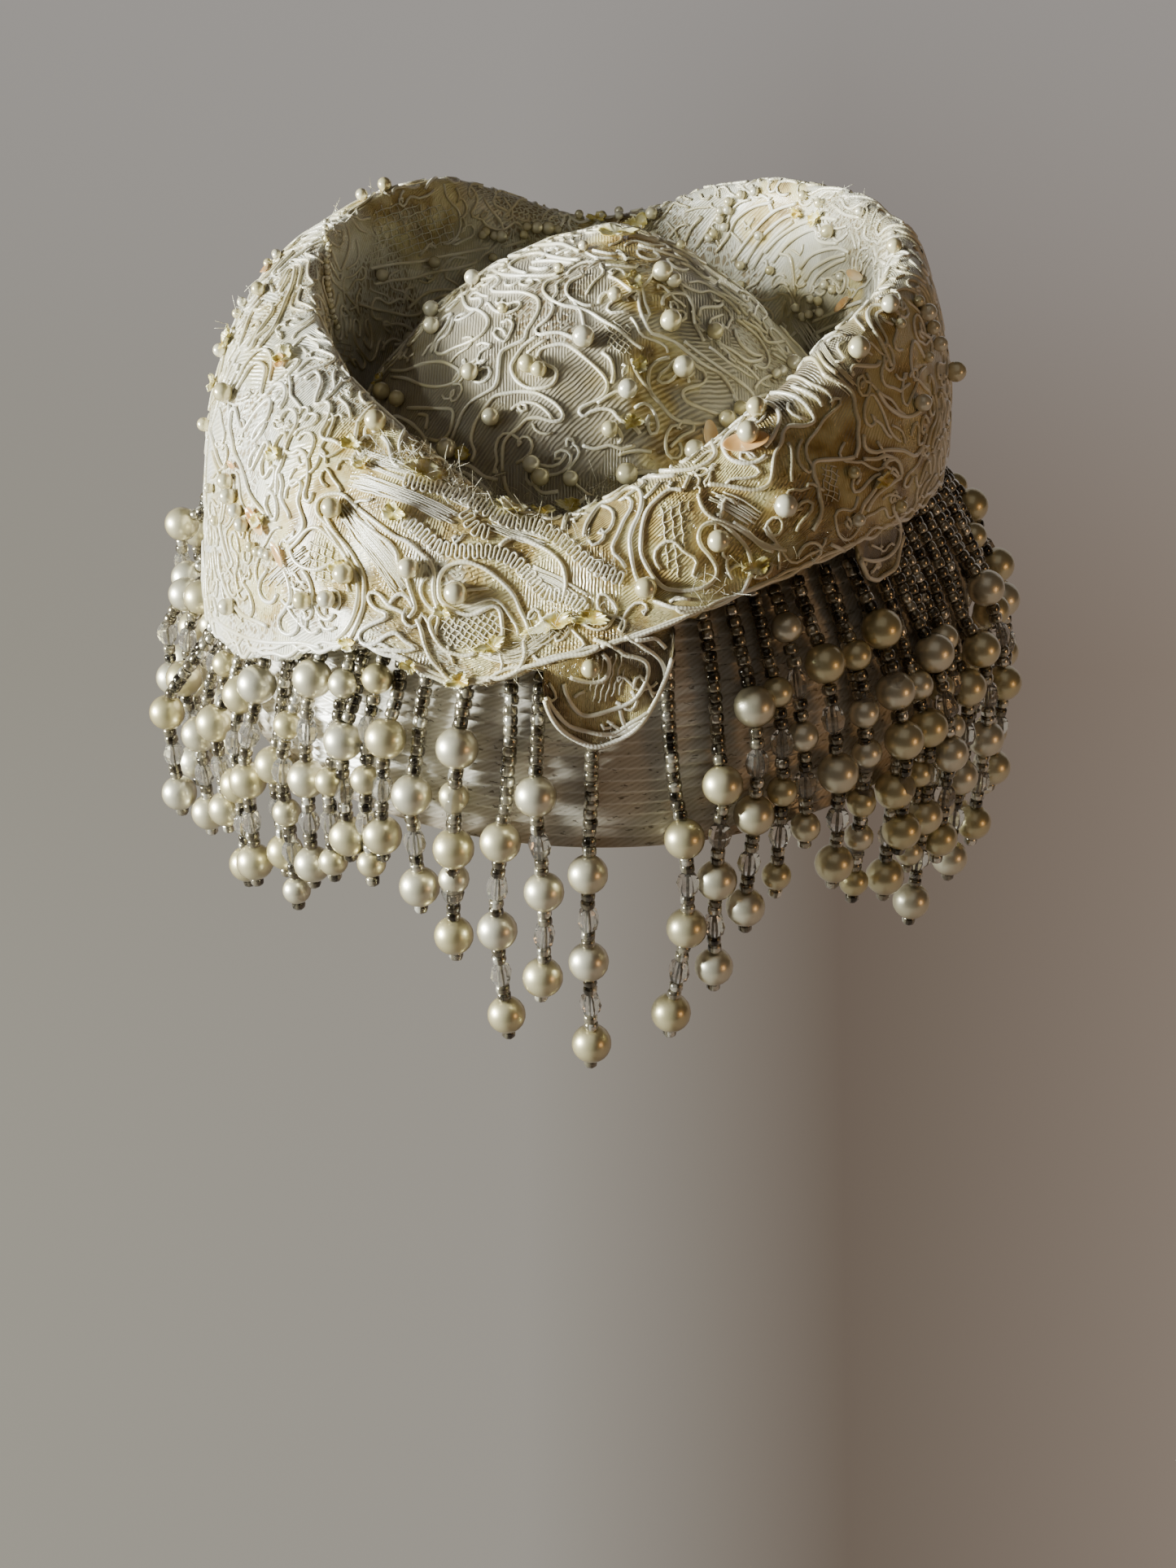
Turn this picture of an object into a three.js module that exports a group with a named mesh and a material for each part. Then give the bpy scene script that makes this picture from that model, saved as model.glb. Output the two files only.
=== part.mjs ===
// A small stiff lace hat: a woven straw band, a domed crown, an upturned rolled brim
// and a fringe of bead strings that hangs from under the brim.
// Millimetres, +Z up, the front towards -Y. The origin is the middle of the rim, where
// the hat sits on a head. A turn is an angle in degrees from the front towards +X.

import * as THREE from "three";

// Straw band
const RIM_WIDTH = 166; // outside of the lowest straw row, side to side
const RIM_LENGTH = 174; // the same, front to back
const BAND_HEIGHT = 50; // rim to the top of the ledge
const BAND_DRAW_IN = 19; // how much nearer the middle the band's top is than the rim
const BAND_CURVE = 2.3; // power of the band's bend: higher keeps it straight for longer
const STRAW_WALL = 2;
const LEDGE_WIDTH = 13; // flat ring at the band's top that carries crown and brim

// Crown
const CROWN_RISE = 37; // top of the dome above the ledge
const CROWN_CURVE = 2.2; // power of the dome: higher makes it flatter on top
const CROWN_WALL = 1.5;
const CROWN_LAP = 1; // how far the crown's foot stands in from the ledge's edge
const RIDGE_HEIGHT = 3; // soft ridge along the crown from front to back
const RIDGE_WIDTH = 22;
const RIDGE_OFFSET = 6; // the ridge runs this far to the right of the middle

// Rolled brim
const ROLL_RISE = 40; // highest crest above the ledge
const ROLL_WALL = 1.6;

// Lace pieces that hang from the brim's hem
const MOTIF_WALL = 1.2;

// Fringe
const PEARL = 8;
const SMALL_PEARL = 6;
const SEED = 2.4; // width of a seed bead
const SEED_LENGTH = 1.9;
const CRYSTAL_LENGTH = 5.6; // clear bead between two pairs of seed beads
const PLAIN_STRING = 2.8; // width of the tube that stands for a string at the back
const FRINGE_DROP = 45; // lowest pearl's middle below the rim

const STRING_SLACK = 0.5; // a string bridges the band's curve and lies this far off it
const GUIDE_STEP = 13; // a string is guided down the band at least this often

const CLEARANCE = 0.3; // between pieces that rest on each other

// Facets
const ROUND_STEPS = 40;
const STRING_SIDES = 10;
const PLAIN_SIDES = 8;
const PLAIN_STEPS = 6;
const DOME_STOPS = [0, 0.35, 0.65, 0.87, 1];
const BAND_STOPS = [0, 0.3, 0.56]; // heights of its section's points, shares of BAND_HEIGHT
const SHOULDER_STOPS = [0.56, 0.74, 0.89, 1];

// The brim's sections. crest and bulge are shares of the way out from its foot to the
// rim; lift and swell are shares of ROLL_RISE above the ledge; round is how blunt the
// crest is, as a share of the fold's own width.
const ROLL_SECTIONS = [
  // turn, crest, lift, bulge, swell, round
  [-180, 0.2, 0.62, 0.62, 0.3, 0.2],
  [-145, 0.22, 0.92, 0.8, 0.5, 0.16],
  [-115, 0.21, 0.88, 0.95, 0.38, 0.14],
  [-90, 0.15, 0.78, 0.96, 0.18, 0.14],
  [-60, 0.12, 0.6, 0.9, 0.04, 0.14],
  [-35, 0.18, 0.43, 0.84, -0.06, 0.18],
  [-12, 0.28, 0.2, 0.78, -0.14, 0.22],
  [12, 0.24, 0.42, 0.8, 0.06, 0.26],
  [30, 0.24, 0.68, 0.8, 0.26, 0.3],
  [46, 0.24, 0.9, 0.74, 0.4, 0.32],
  [65, 0.22, 0.97, 0.66, 0.46, 0.32],
  [90, 0.2, 1, 0.6, 0.5, 0.28],
  [120, 0.2, 1, 0.62, 0.54, 0.22],
  [150, 0.22, 0.88, 0.64, 0.56, 0.2],
];

// The brim's lower hem. out is a share of the way from the brim's foot to the rim, and
// up a share of BAND_HEIGHT.
const HEM_SECTIONS = [
  // turn, out, up
  [-180, 0.78, 0.92],
  [-150, 0.84, 0.84],
  [-120, 1, 0.68],
  [-95, 1.12, 0.48],
  [-75, 1.15, 0.36],
  [-60, 1.14, 0.4],
  [-50, 1.11, 0.5],
  [-40, 1.08, 0.64],
  [-30, 1.05, 0.75],
  [-18, 1.05, 0.68],
  [-9, 1.03, 0.78],
  [4, 0.98, 0.9],
  [20, 0.9, 1.02],
  [38, 0.8, 1.05],
  [55, 0.72, 1],
  [80, 0.68, 0.96],
  [115, 0.7, 0.94],
  [150, 0.74, 0.92],
];

// Lace pieces on the hem: hang is a share of BAND_HEIGHT, flare how far the tip stands out.
const MOTIFS = {
  // from turn, to turn, hang, flare
  lace_motif_front: [-7, 9, 0.42, 2.4],
  lace_motif_right: [38, 51, 0.2, 0.8],
};
const MOTIF_COLUMNS = 8;
const MOTIF_ROWS = 2;

// The strings that show at the front. drop is the lowest pearl's height below the rim as
// a share of FRINGE_DROP, and off how far the string stands off the band.
const FRONT_STRINGS = [
  // turn, drop, pearl, off
  [-57.5, 0.68, PEARL, 2],
  [-48.5, 0.43, PEARL, 0],
  [-41.5, 0.38, PEARL, 0],
  [-34.5, 0.11, PEARL, 0],
  [-28.6, 0.03, PEARL, 0],
  [-24, 0.25, PEARL, 0],
  [-18.6, 0.47, PEARL, 0],
  [-12.5, 0.87, PEARL, 0],
  [-7.6, 0.63, PEARL, 0],
  [-1.3, 1, PEARL, 0],
  [10, 0.84, PEARL, 0],
  [15, 0.61, PEARL, 0],
  [19.4, 0.31, PEARL, 0],
  [23.5, 0.2, SMALL_PEARL, 0],
  [27, -0.02, SMALL_PEARL, 0],
  [31.5, 0.22, PEARL, 0],
  [36.5, 0.4, SMALL_PEARL, 0],
  [42, 0.45, PEARL, 0],
  [47.6, 0.68, PEARL, 1.5],
  [53, 0.5, SMALL_PEARL, 0],
  [58.5, 0.66, PEARL, 1.5],
];
const PLAIN_STRING_COUNT = 31; // the strings from the last front one round the back
const PEARLS_ON_STRING = 3;
const SCALLOPS = 6; // the fringe is long and short by turns, this often round the hat
const SCALLOP_MIDDLE = 0.5; // as shares of FRINGE_DROP
const SCALLOP_SWING = 0.26;
const INNER_SHORTER = 0.14;
const OUTER_OFF = 2; // the outer strings there stand off the band
const SIDE_OFF = 9; // and further off it towards the left side
const HEAD_ROOM = 4; // a string's top end lies this far up under the hem

const ovalRatio = RIM_LENGTH / RIM_WIDTH;
const rimRadius = RIM_WIDTH / 2;
const ledgeOuter = rimRadius - BAND_DRAW_IN;
const ledgeInner = ledgeOuter - LEDGE_WIDTH;
const crownFoot = ledgeInner + CROWN_LAP + CROWN_WALL;
const rollFoot = crownFoot + CLEARANCE;
const seatHeight = BAND_HEIGHT + CLEARANCE;
const pearlPitch = PEARL + 4 * SEED_LENGTH + CRYSTAL_LENGTH;

function place(radius, turn, height) {
  const angle = THREE.MathUtils.degToRad(turn);
  return new THREE.Vector3(
    radius * Math.sin(angle),
    -radius * Math.cos(angle) * ovalRatio,
    height,
  );
}

// Smooth value of one column of a table of turns, which closes on itself after 360 degrees.
function across(table, column, turn) {
  const count = table.length;
  const row = (index) => {
    const lap = Math.floor(index / count);
    const entry = table[index - lap * count];
    return [entry[0] + 360 * lap, entry[column]];
  };
  const wrapped = table[0][0] + THREE.MathUtils.euclideanModulo(turn - table[0][0], 360);
  let start = count - 1;
  while (table[start][0] > wrapped) start -= 1;
  const [t0, v0] = row(start - 1);
  const [t1, v1] = row(start);
  const [t2, v2] = row(start + 1);
  const [t3, v3] = row(start + 2);
  const span = t2 - t1;
  const u = (wrapped - t1) / span;
  const slope1 = ((v2 - v0) / (t2 - t0)) * span;
  const slope2 = ((v3 - v1) / (t3 - t1)) * span;
  const rise = v2 - v1;
  return v1 + u * (slope1 + u * (3 * rise - 2 * slope1 - slope2 + u * (slope1 + slope2 - 2 * rise)));
}

// The second face of a wall: each point of a line moved to its left by the wall.
function wallFace(line, wall) {
  return line.map((point, index) => {
    const before = line[Math.max(index - 1, 0)];
    const after = line[Math.min(index + 1, line.length - 1)];
    const along = after.clone().sub(before).normalize();
    return new THREE.Vector2(point.x - along.y * wall, point.y + along.x * wall);
  });
}

// A body round the hat's axis whose section may differ at each turn.
function roundBody(sectionAt, movePoint = (point) => point) {
  const sections = [];
  for (let step = 0; step < ROUND_STEPS; step += 1) {
    sections.push(sectionAt((360 * step) / ROUND_STEPS));
  }
  const size = sections[0].length;
  const geometry = new THREE.LatheGeometry(sections[0], ROUND_STEPS);
  const position = geometry.attributes.position;
  for (let step = 0; step <= ROUND_STEPS; step += 1) {
    const section = sections[step % ROUND_STEPS];
    const turn = (360 * (step % ROUND_STEPS)) / ROUND_STEPS;
    section.forEach((point, index) => {
      const spot = movePoint(place(point.x, turn, point.y));
      position.setXYZ(step * size + index, spot.x, spot.y, spot.z);
    });
  }
  geometry.computeVertexNormals();
  return geometry;
}

function mesh(name, geometry, material) {
  const piece = new THREE.Mesh(geometry, material);
  piece.name = name;
  return piece;
}

function bandRadius(height) {
  const share = THREE.MathUtils.clamp(height / BAND_HEIGHT, 0, 1);
  return rimRadius - BAND_DRAW_IN * share ** BAND_CURVE;
}

function bandSlope(height) {
  const share = THREE.MathUtils.clamp(height / BAND_HEIGHT, 0, 1);
  return ((BAND_DRAW_IN * BAND_CURVE) / BAND_HEIGHT) * share ** (BAND_CURVE - 1);
}

// A ring of the straw wall between two heights, given as shares of the band's height.
function strawRing(stops, endsInLedge) {
  const face = stops.map((stop) => {
    const height = stop * BAND_HEIGHT;
    return new THREE.Vector2(bandRadius(height), height);
  });
  const back = face.map((point) => new THREE.Vector2(point.x - STRAW_WALL, point.y));
  if (endsInLedge) {
    back[back.length - 1].y -= STRAW_WALL;
    face.push(new THREE.Vector2(ledgeInner, BAND_HEIGHT));
    back.push(new THREE.Vector2(ledgeInner, BAND_HEIGHT - STRAW_WALL));
  }
  const section = [...face, ...back.reverse(), face[0]];
  return roundBody(() => section);
}

// Straw band: the nearly upright wall that shows below the brim.
function strawBand() {
  return strawRing(BAND_STOPS, false);
}

// Straw shoulder: the wall's upper part, which curves in to a flat ledge. It stands on the band.
function strawShoulder() {
  const foot = SHOULDER_STOPS[0] + CLEARANCE / BAND_HEIGHT;
  return strawRing([foot, ...SHOULDER_STOPS.slice(1)], true);
}

function ridge(point) {
  const share = point.length() / (crownFoot * ovalRatio);
  const aside = (point.x - RIDGE_OFFSET) / RIDGE_WIDTH;
  const reach = Math.max(0, 1 - share * share);
  return RIDGE_HEIGHT * reach * Math.exp(-2 * aside * aside);
}

// Crown: a dome of one wall, open below, with the soft ridge pressed up along it.
function crown() {
  const dome = DOME_STOPS.map((stop) => {
    const height = seatHeight + CROWN_RISE * (1 - stop ** CROWN_CURVE);
    return new THREE.Vector2(stop * crownFoot, height);
  }).reverse();
  const under = wallFace(dome, CROWN_WALL);
  under[0].set(crownFoot - CROWN_WALL, seatHeight);
  under[under.length - 1].x = 0;
  const section = [...under.reverse(), ...dome];
  return roundBody(
    () => section,
    (point) => {
      const flat = new THREE.Vector3(point.x, point.y, 0);
      return new THREE.Vector3(point.x, point.y, point.z + ridge(flat));
    },
  );
}

function rollOut(share) {
  return rollFoot + share * (rimRadius - rollFoot);
}

function hemAt(turn) {
  const out = rollOut(across(HEM_SECTIONS, 1, turn));
  return new THREE.Vector2(out, across(HEM_SECTIONS, 2, turn) * BAND_HEIGHT);
}

// The hem as the brim's facets have it, straight between two of its sections.
function facetedHem(turn) {
  const facet = 360 / ROUND_STEPS;
  const before = Math.floor(turn / facet) * facet;
  const [a, b] = [before, before + facet].map((at) => {
    const hem = hemAt(at);
    return place(hem.x, at, hem.y);
  });
  return a.lerp(b, (turn - before) / facet);
}

// The brim's outer face at a turn, from the hem up over the crest and down to its foot.
function rollFace(turn) {
  const [crest, lift, bulge, swell, round] = [1, 2, 3, 4, 5].map((column) =>
    across(ROLL_SECTIONS, column, turn),
  );
  const hem = hemAt(turn);
  const foot = new THREE.Vector2(rollFoot, seatHeight);
  const belly = new THREE.Vector2(rollOut(bulge), seatHeight + swell * ROLL_RISE);
  const top = new THREE.Vector2(rollOut(crest), seatHeight + lift * ROLL_RISE);
  const outward = belly.x - top.x;
  const upward = top.y - belly.y;
  const inward = top.x - foot.x;
  const depth = top.y - foot.y;
  return [
    hem,
    new THREE.Vector2(hem.x * 0.45 + belly.x * 0.55 + 0.6, hem.y * 0.45 + belly.y * 0.55),
    belly,
    new THREE.Vector2(belly.x - 0.36 * outward, belly.y + 0.68 * upward),
    new THREE.Vector2(top.x + round * outward, top.y),
    new THREE.Vector2(top.x - round * inward, top.y - 0.06 * depth),
    new THREE.Vector2(foot.x + 0.42 * inward, foot.y + 0.5 * depth),
    foot,
  ];
}

// Rolled brim: one thin wall folded over, standing on the ledge, its outer edge free.
function brimRoll() {
  return roundBody((turn) => {
    const face = rollFace(turn);
    const back = wallFace(face, ROLL_WALL);
    back[0].set(face[0].x - ROLL_WALL, face[0].y);
    back[back.length - 1].set(rollFoot + ROLL_WALL, seatHeight);
    return [...face, ...back.reverse(), face[0]];
  });
}

// A leaf of lace that hangs from the hem: a curved plate with a pointed lower edge.
function laceMotif([fromTurn, toTurn, hang, flare]) {
  const geometry = new THREE.BoxGeometry(1, 1, 1, MOTIF_COLUMNS, 1, MOTIF_ROWS);
  const position = geometry.attributes.position;
  for (let index = 0; index < position.count; index += 1) {
    const side = position.getX(index) + 0.5;
    const inside = position.getY(index) + 0.5;
    const down = 0.5 - position.getZ(index);
    const turn = fromTurn + side * (toTurn - fromTurn);
    const depth = (0.12 + 0.88 * Math.sin(Math.PI * side) ** 0.8) * hang * BAND_HEIGHT;
    const spot = facetedHem(turn);
    spot.add(place(down * flare - inside * MOTIF_WALL, turn, -CLEARANCE - down * depth));
    position.setXYZ(index, spot.x, spot.y, spot.z);
  }
  geometry.computeVertexNormals();
  return geometry;
}

function standOff(height, reach) {
  return reach * Math.hypot(1, bandSlope(height));
}

// A string's line at one turn: from under the hem down the band, off the rim and plumb down.
function stringLine({ turn, lowest, pearl, off, width }) {
  const hem = hemAt(turn).y;
  const top = Math.min(hem + HEAD_ROOM, BAND_HEIGHT - HEAD_ROOM);
  const highest = Math.min(top - pearl, hem - pearl / 2 - 1);
  const heights = [];
  let height = lowest;
  while (height < highest && heights.length < PEARLS_ON_STRING) {
    heights.unshift(height);
    height += pearlPitch - (PEARL - pearl);
  }
  const away = (at, radius) => {
    const free = hem - 2 * HEAD_ROOM;
    const lean = off * THREE.MathUtils.smoothstep(free - at, 0, free);
    return bandRadius(at) + standOff(at, radius + CLEARANCE + STRING_SLACK) + lean;
  };
  const sewn = bandRadius(top) + standOff(top, width / 2 + CLEARANCE);
  const points = [place(sewn, turn, top)];
  const guides = Math.max(0, Math.ceil((top - heights[0] - pearl) / GUIDE_STEP) - 1);
  for (let guide = 1; guide <= guides; guide += 1) {
    const at = top - ((top - heights[0]) * guide) / (guides + 1);
    points.push(place(away(at, width / 2), turn, at));
  }
  const guideHeights = points.slice(1).map((point) => point.z);
  const centres = heights.map((at) => place(away(at, pearl / 2), turn, at));
  points.push(...centres);
  const tail = centres[centres.length - 1].clone();
  tail.z -= pearl / 2 + SEED_LENGTH;
  points.push(tail);
  return { curve: new THREE.CatmullRomCurve3(points), centres, guideHeights, turn };
}

// How far along a curve it passes nearest to a height, going down.
function lengthAtHeight(curve, height) {
  const steps = 200;
  const total = curve.getLength();
  for (let step = 0; step <= steps; step += 1) {
    if (curve.getPointAt(step / steps).z <= height) return (total * step) / steps;
  }
  return total;
}

// A string with its pearls: a round body along a straight axis, laid along the curve.
function beadedString(spec) {
  const { curve, centres, guideHeights, turn } = stringLine({ ...spec, width: SEED });
  const length = curve.getLength();
  const thin = SEED / 2;
  const fat = spec.pearl / 2;
  const profile = [[0, 0], [thin, 0]];
  guideHeights.forEach((height) => profile.push([thin, lengthAtHeight(curve, height)]));
  centres.forEach((centre) => {
    const middle = lengthAtHeight(curve, centre.z);
    const halfMouth = Math.sqrt(fat * fat - thin * thin);
    profile.push([thin, middle - halfMouth], [fat * 0.96, middle - fat * 0.4]);
    profile.push([fat * 0.96, middle + fat * 0.4], [thin, middle + halfMouth]);
  });
  profile.push([thin, length], [0, length]);
  const outline = profile.map(([radius, along]) => new THREE.Vector2(radius, along));
  const geometry = new THREE.LatheGeometry(outline, STRING_SIDES);
  const position = geometry.attributes.position;
  const angle = THREE.MathUtils.degToRad(turn);
  const sideways = new THREE.Vector3(Math.cos(angle), Math.sin(angle) * ovalRatio, 0).normalize();
  for (let index = 0; index < position.count; index += 1) {
    const share = THREE.MathUtils.clamp(position.getY(index) / length, 0, 1);
    const forward = curve.getTangentAt(share);
    const outward = new THREE.Vector3().crossVectors(sideways, forward).normalize();
    const spot = curve.getPointAt(share);
    spot.addScaledVector(sideways, position.getX(index));
    spot.addScaledVector(outward, position.getZ(index));
    position.setXYZ(index, spot.x, spot.y, spot.z);
  }
  geometry.computeVertexNormals();
  return geometry;
}

// A string that hardly shows: a plain tube along the same line.
function plainString(spec) {
  const { curve } = stringLine({ ...spec, width: PLAIN_STRING });
  const ring = [];
  for (let side = 0; side < PLAIN_SIDES; side += 1) {
    const angle = (2 * Math.PI * side) / PLAIN_SIDES;
    ring.push(new THREE.Vector2(Math.cos(angle), Math.sin(angle)).multiplyScalar(PLAIN_STRING / 2));
  }
  return new THREE.ExtrudeGeometry(new THREE.Shape(ring), {
    steps: PLAIN_STEPS,
    bevelEnabled: false,
    extrudePath: curve,
  });
}

function fringe() {
  const strings = FRONT_STRINGS.map(([turn, drop, pearl, off]) => ({
    turn,
    lowest: -drop * FRINGE_DROP,
    pearl,
    off,
    beaded: pearl === PEARL,
  }));
  const first = FRONT_STRINGS[FRONT_STRINGS.length - 1][0];
  const span = FRONT_STRINGS[0][0] + 360 - first;
  for (let index = 1; index <= PLAIN_STRING_COUNT; index += 1) {
    const turn = first + (span * index) / (PLAIN_STRING_COUNT + 1);
    const inner = index % 2 === 1;
    const wave = Math.cos(THREE.MathUtils.degToRad(SCALLOPS * turn));
    const drop = SCALLOP_MIDDLE + SCALLOP_SWING * wave - (inner ? INNER_SHORTER : 0);
    const side = Math.max(0, -Math.sin(THREE.MathUtils.degToRad(turn)));
    strings.push({
      turn,
      lowest: -drop * FRINGE_DROP,
      pearl: inner ? SMALL_PEARL : PEARL,
      off: inner ? 0 : OUTER_OFF + SIDE_OFF * side,
      beaded: false,
    });
  }
  return strings;
}

const straw = new THREE.MeshStandardMaterial({ color: 0xe9e4d6, roughness: 0.38, metalness: 0 });
const lace = new THREE.MeshStandardMaterial({ color: 0xe4dcc3, roughness: 0.85, metalness: 0 });
const pearl = new THREE.MeshStandardMaterial({ color: 0xe6dfc8, roughness: 0.22, metalness: 0 });

const hat = new THREE.Group();
hat.add(mesh("straw_band", strawBand(), straw));
hat.add(mesh("straw_shoulder", strawShoulder(), straw));
hat.add(mesh("crown", crown(), lace));
hat.add(mesh("brim_roll", brimRoll(), lace));
for (const [name, row] of Object.entries(MOTIFS)) {
  hat.add(mesh(name, laceMotif(row), lace));
}
fringe().forEach((spec, index) => {
  const name = `strand_${String(index + 1).padStart(2, "0")}`;
  const shape = spec.beaded ? beadedString(spec) : plainString(spec);
  hat.add(mesh(name, shape, pearl));
});

export default hat;
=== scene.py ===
# %% [markdown]
# # A small beaded lace hat
#
# The hat is a stiff band of woven straw with a domed crown and a rolled-up brim. Both are
# covered in corded lace, which carries pearls and has yellowed where it was glued. A fringe
# of bead strings hangs from under the brim. Each step below makes one of these pieces or
# finishes, in millimetres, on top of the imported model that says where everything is.

import bmesh
import bpy
import numpy as np
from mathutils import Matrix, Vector
from mathutils.bvhtree import BVHTree


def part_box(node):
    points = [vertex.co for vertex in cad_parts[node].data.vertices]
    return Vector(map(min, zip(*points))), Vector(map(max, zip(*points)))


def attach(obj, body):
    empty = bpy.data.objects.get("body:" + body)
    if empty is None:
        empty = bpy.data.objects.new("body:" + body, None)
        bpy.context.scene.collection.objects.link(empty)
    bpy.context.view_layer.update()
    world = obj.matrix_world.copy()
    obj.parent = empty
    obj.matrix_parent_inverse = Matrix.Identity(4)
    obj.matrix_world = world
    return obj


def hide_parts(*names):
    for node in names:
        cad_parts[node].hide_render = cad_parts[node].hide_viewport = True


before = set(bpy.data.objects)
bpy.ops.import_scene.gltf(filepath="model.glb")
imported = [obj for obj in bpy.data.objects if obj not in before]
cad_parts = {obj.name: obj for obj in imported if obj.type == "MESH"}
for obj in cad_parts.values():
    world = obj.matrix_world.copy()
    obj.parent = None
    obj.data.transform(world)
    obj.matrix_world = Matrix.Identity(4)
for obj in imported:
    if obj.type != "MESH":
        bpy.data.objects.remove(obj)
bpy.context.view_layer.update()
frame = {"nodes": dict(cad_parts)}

MM = 0.001  # a millimetre in Blender's metres


def measured(node):
    """Lowest and highest corner of a node's box, in millimetres."""
    low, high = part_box(node)
    return np.array(low) / MM, np.array(high) / MM


band_low, band_high = measured("straw_band")
shoulder_high = measured("straw_shoulder")[1]
rim_radius = (band_high[0] - band_low[0]) / 2
oval_ratio = (band_high[1] - band_low[1]) / (band_high[0] - band_low[0])
band_height = shoulder_high[2]
print(f"rim radius {rim_radius:.1f}, oval ratio {oval_ratio:.3f}, band height {band_height:.1f}")

# %% [markdown]
# ## Turns and tables
#
# Everything on a hat goes round it, so a place is a turn (degrees from the front towards the
# right), a radius and a height. The brim isn't the same all round: its crest rises into two
# lobes at the back and dips at the front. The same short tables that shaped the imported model
# give its section at each turn, and a smooth curve is laid through their rows.

# %% Places and smooth tables
BAND_DRAW_IN = 19
BAND_CURVE = 2.3
LEDGE_WIDTH = 13
CROWN_LAP = 1
CROWN_WALL = 1.5
CROWN_RISE = 37
CROWN_CURVE = 2.2
RIDGE_HEIGHT = 3
RIDGE_WIDTH = 22
RIDGE_OFFSET = 6
ROLL_RISE = 40
ROLL_WALL = 1.6
CLEARANCE = 0.3

crown_foot = rim_radius - BAND_DRAW_IN - LEDGE_WIDTH + CROWN_LAP + CROWN_WALL
roll_foot = crown_foot + CLEARANCE
seat_height = band_height + CLEARANCE

ROLL_SECTIONS = np.array([
    # turn, crest, lift, bulge, swell, round
    [-180, 0.2, 0.62, 0.62, 0.3, 0.2],
    [-145, 0.22, 0.92, 0.8, 0.5, 0.16],
    [-115, 0.21, 0.88, 0.95, 0.38, 0.14],
    [-90, 0.15, 0.78, 0.96, 0.18, 0.14],
    [-60, 0.12, 0.6, 0.9, 0.04, 0.14],
    [-35, 0.18, 0.43, 0.84, -0.06, 0.18],
    [-12, 0.28, 0.2, 0.78, -0.14, 0.22],
    [12, 0.24, 0.42, 0.8, 0.06, 0.26],
    [30, 0.24, 0.68, 0.8, 0.26, 0.3],
    [46, 0.24, 0.9, 0.74, 0.4, 0.32],
    [65, 0.22, 0.97, 0.66, 0.46, 0.32],
    [90, 0.2, 1, 0.6, 0.5, 0.28],
    [120, 0.2, 1, 0.62, 0.54, 0.22],
    [150, 0.22, 0.88, 0.64, 0.56, 0.2],
])
HEM_SECTIONS = np.array([
    # turn, out, up
    [-180, 0.78, 0.92],
    [-150, 0.84, 0.84],
    [-120, 1, 0.68],
    [-95, 1.12, 0.48],
    [-75, 1.15, 0.36],
    [-60, 1.14, 0.4],
    [-50, 1.11, 0.5],
    [-40, 1.08, 0.64],
    [-30, 1.05, 0.75],
    [-18, 1.05, 0.68],
    [-9, 1.03, 0.78],
    [4, 0.98, 0.9],
    [20, 0.9, 1.02],
    [38, 0.8, 1.05],
    [55, 0.72, 1],
    [80, 0.68, 0.96],
    [115, 0.7, 0.94],
    [150, 0.74, 0.92],
])


def place(radius, turn, height):
    """A point: out by the radius at the turn, the length front to back stretched to the oval."""
    angle = np.radians(turn)
    parts = radius * np.sin(angle), -radius * np.cos(angle) * oval_ratio, height
    return np.stack(np.broadcast_arrays(*parts), axis=-1)


def across(table, column, turn):
    """A column's value at a turn: between two rows a cubic, whose slope at each row is the
    slope from the row before it to the row after it; the table closes on itself at 360."""
    count = len(table)
    wrapped = table[0, 0] + (np.asarray(turn, float) - table[0, 0]) % 360
    start = np.searchsorted(table[:, 0], wrapped, side="right") - 1

    def row(index):
        """A row's turn and value, counted on past the table's ends."""
        return table[index % count, 0] + 360 * (index // count), table[index % count, column]

    (t0, v0), (t1, v1), (t2, v2), (t3, v3) = (row(start + step) for step in (-1, 0, 1, 2))
    span = t2 - t1
    u = (wrapped - t1) / span
    slope1 = (v2 - v0) / (t2 - t0) * span
    slope2 = (v3 - v1) / (t3 - t1) * span
    rise = v2 - v1
    return v1 + u * (slope1 + u * (3 * rise - 2 * slope1 - slope2 + u * (slope1 + slope2 - 2 * rise)))


def band_radius(height):
    """The straw band's outer radius: the rim's, less a power of the height's share."""
    share = np.clip(np.asarray(height, float) / band_height, 0, 1)
    return rim_radius - BAND_DRAW_IN * share**BAND_CURVE


print(f"crown foot {crown_foot:.1f}, seat height {seat_height:.1f}")

# %% [markdown]
# ## Meshes from whole arrays
#
# A piece here is often thousands of beads or metres of cord. Making each with an operator
# would be slow, so shapes are worked out as whole numpy arrays: a grid of points for a sheet,
# rings along a path for a cord, and one small shape copied to many places for beads. A shape
# is a dictionary of points, groups of faces, their texture coordinates and marks per point.

# %% Helpers for shapes
def unit(vectors):
    """Vectors divided by their own length."""
    return vectors / np.maximum(np.linalg.norm(vectors, axis=-1, keepdims=True), 1e-9)


def grid_faces(rows, columns, closed=True):
    """The faces between neighbours on a grid, row by row; a closed grid's last column is
    joined to its first."""
    row, column = np.meshgrid(np.arange(rows - 1), np.arange(columns if closed else columns - 1), indexing="ij")
    after = (column + 1) % columns
    return np.stack([row * columns + column, row * columns + after,
                     (row + 1) * columns + after, (row + 1) * columns + column], axis=-1)


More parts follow.
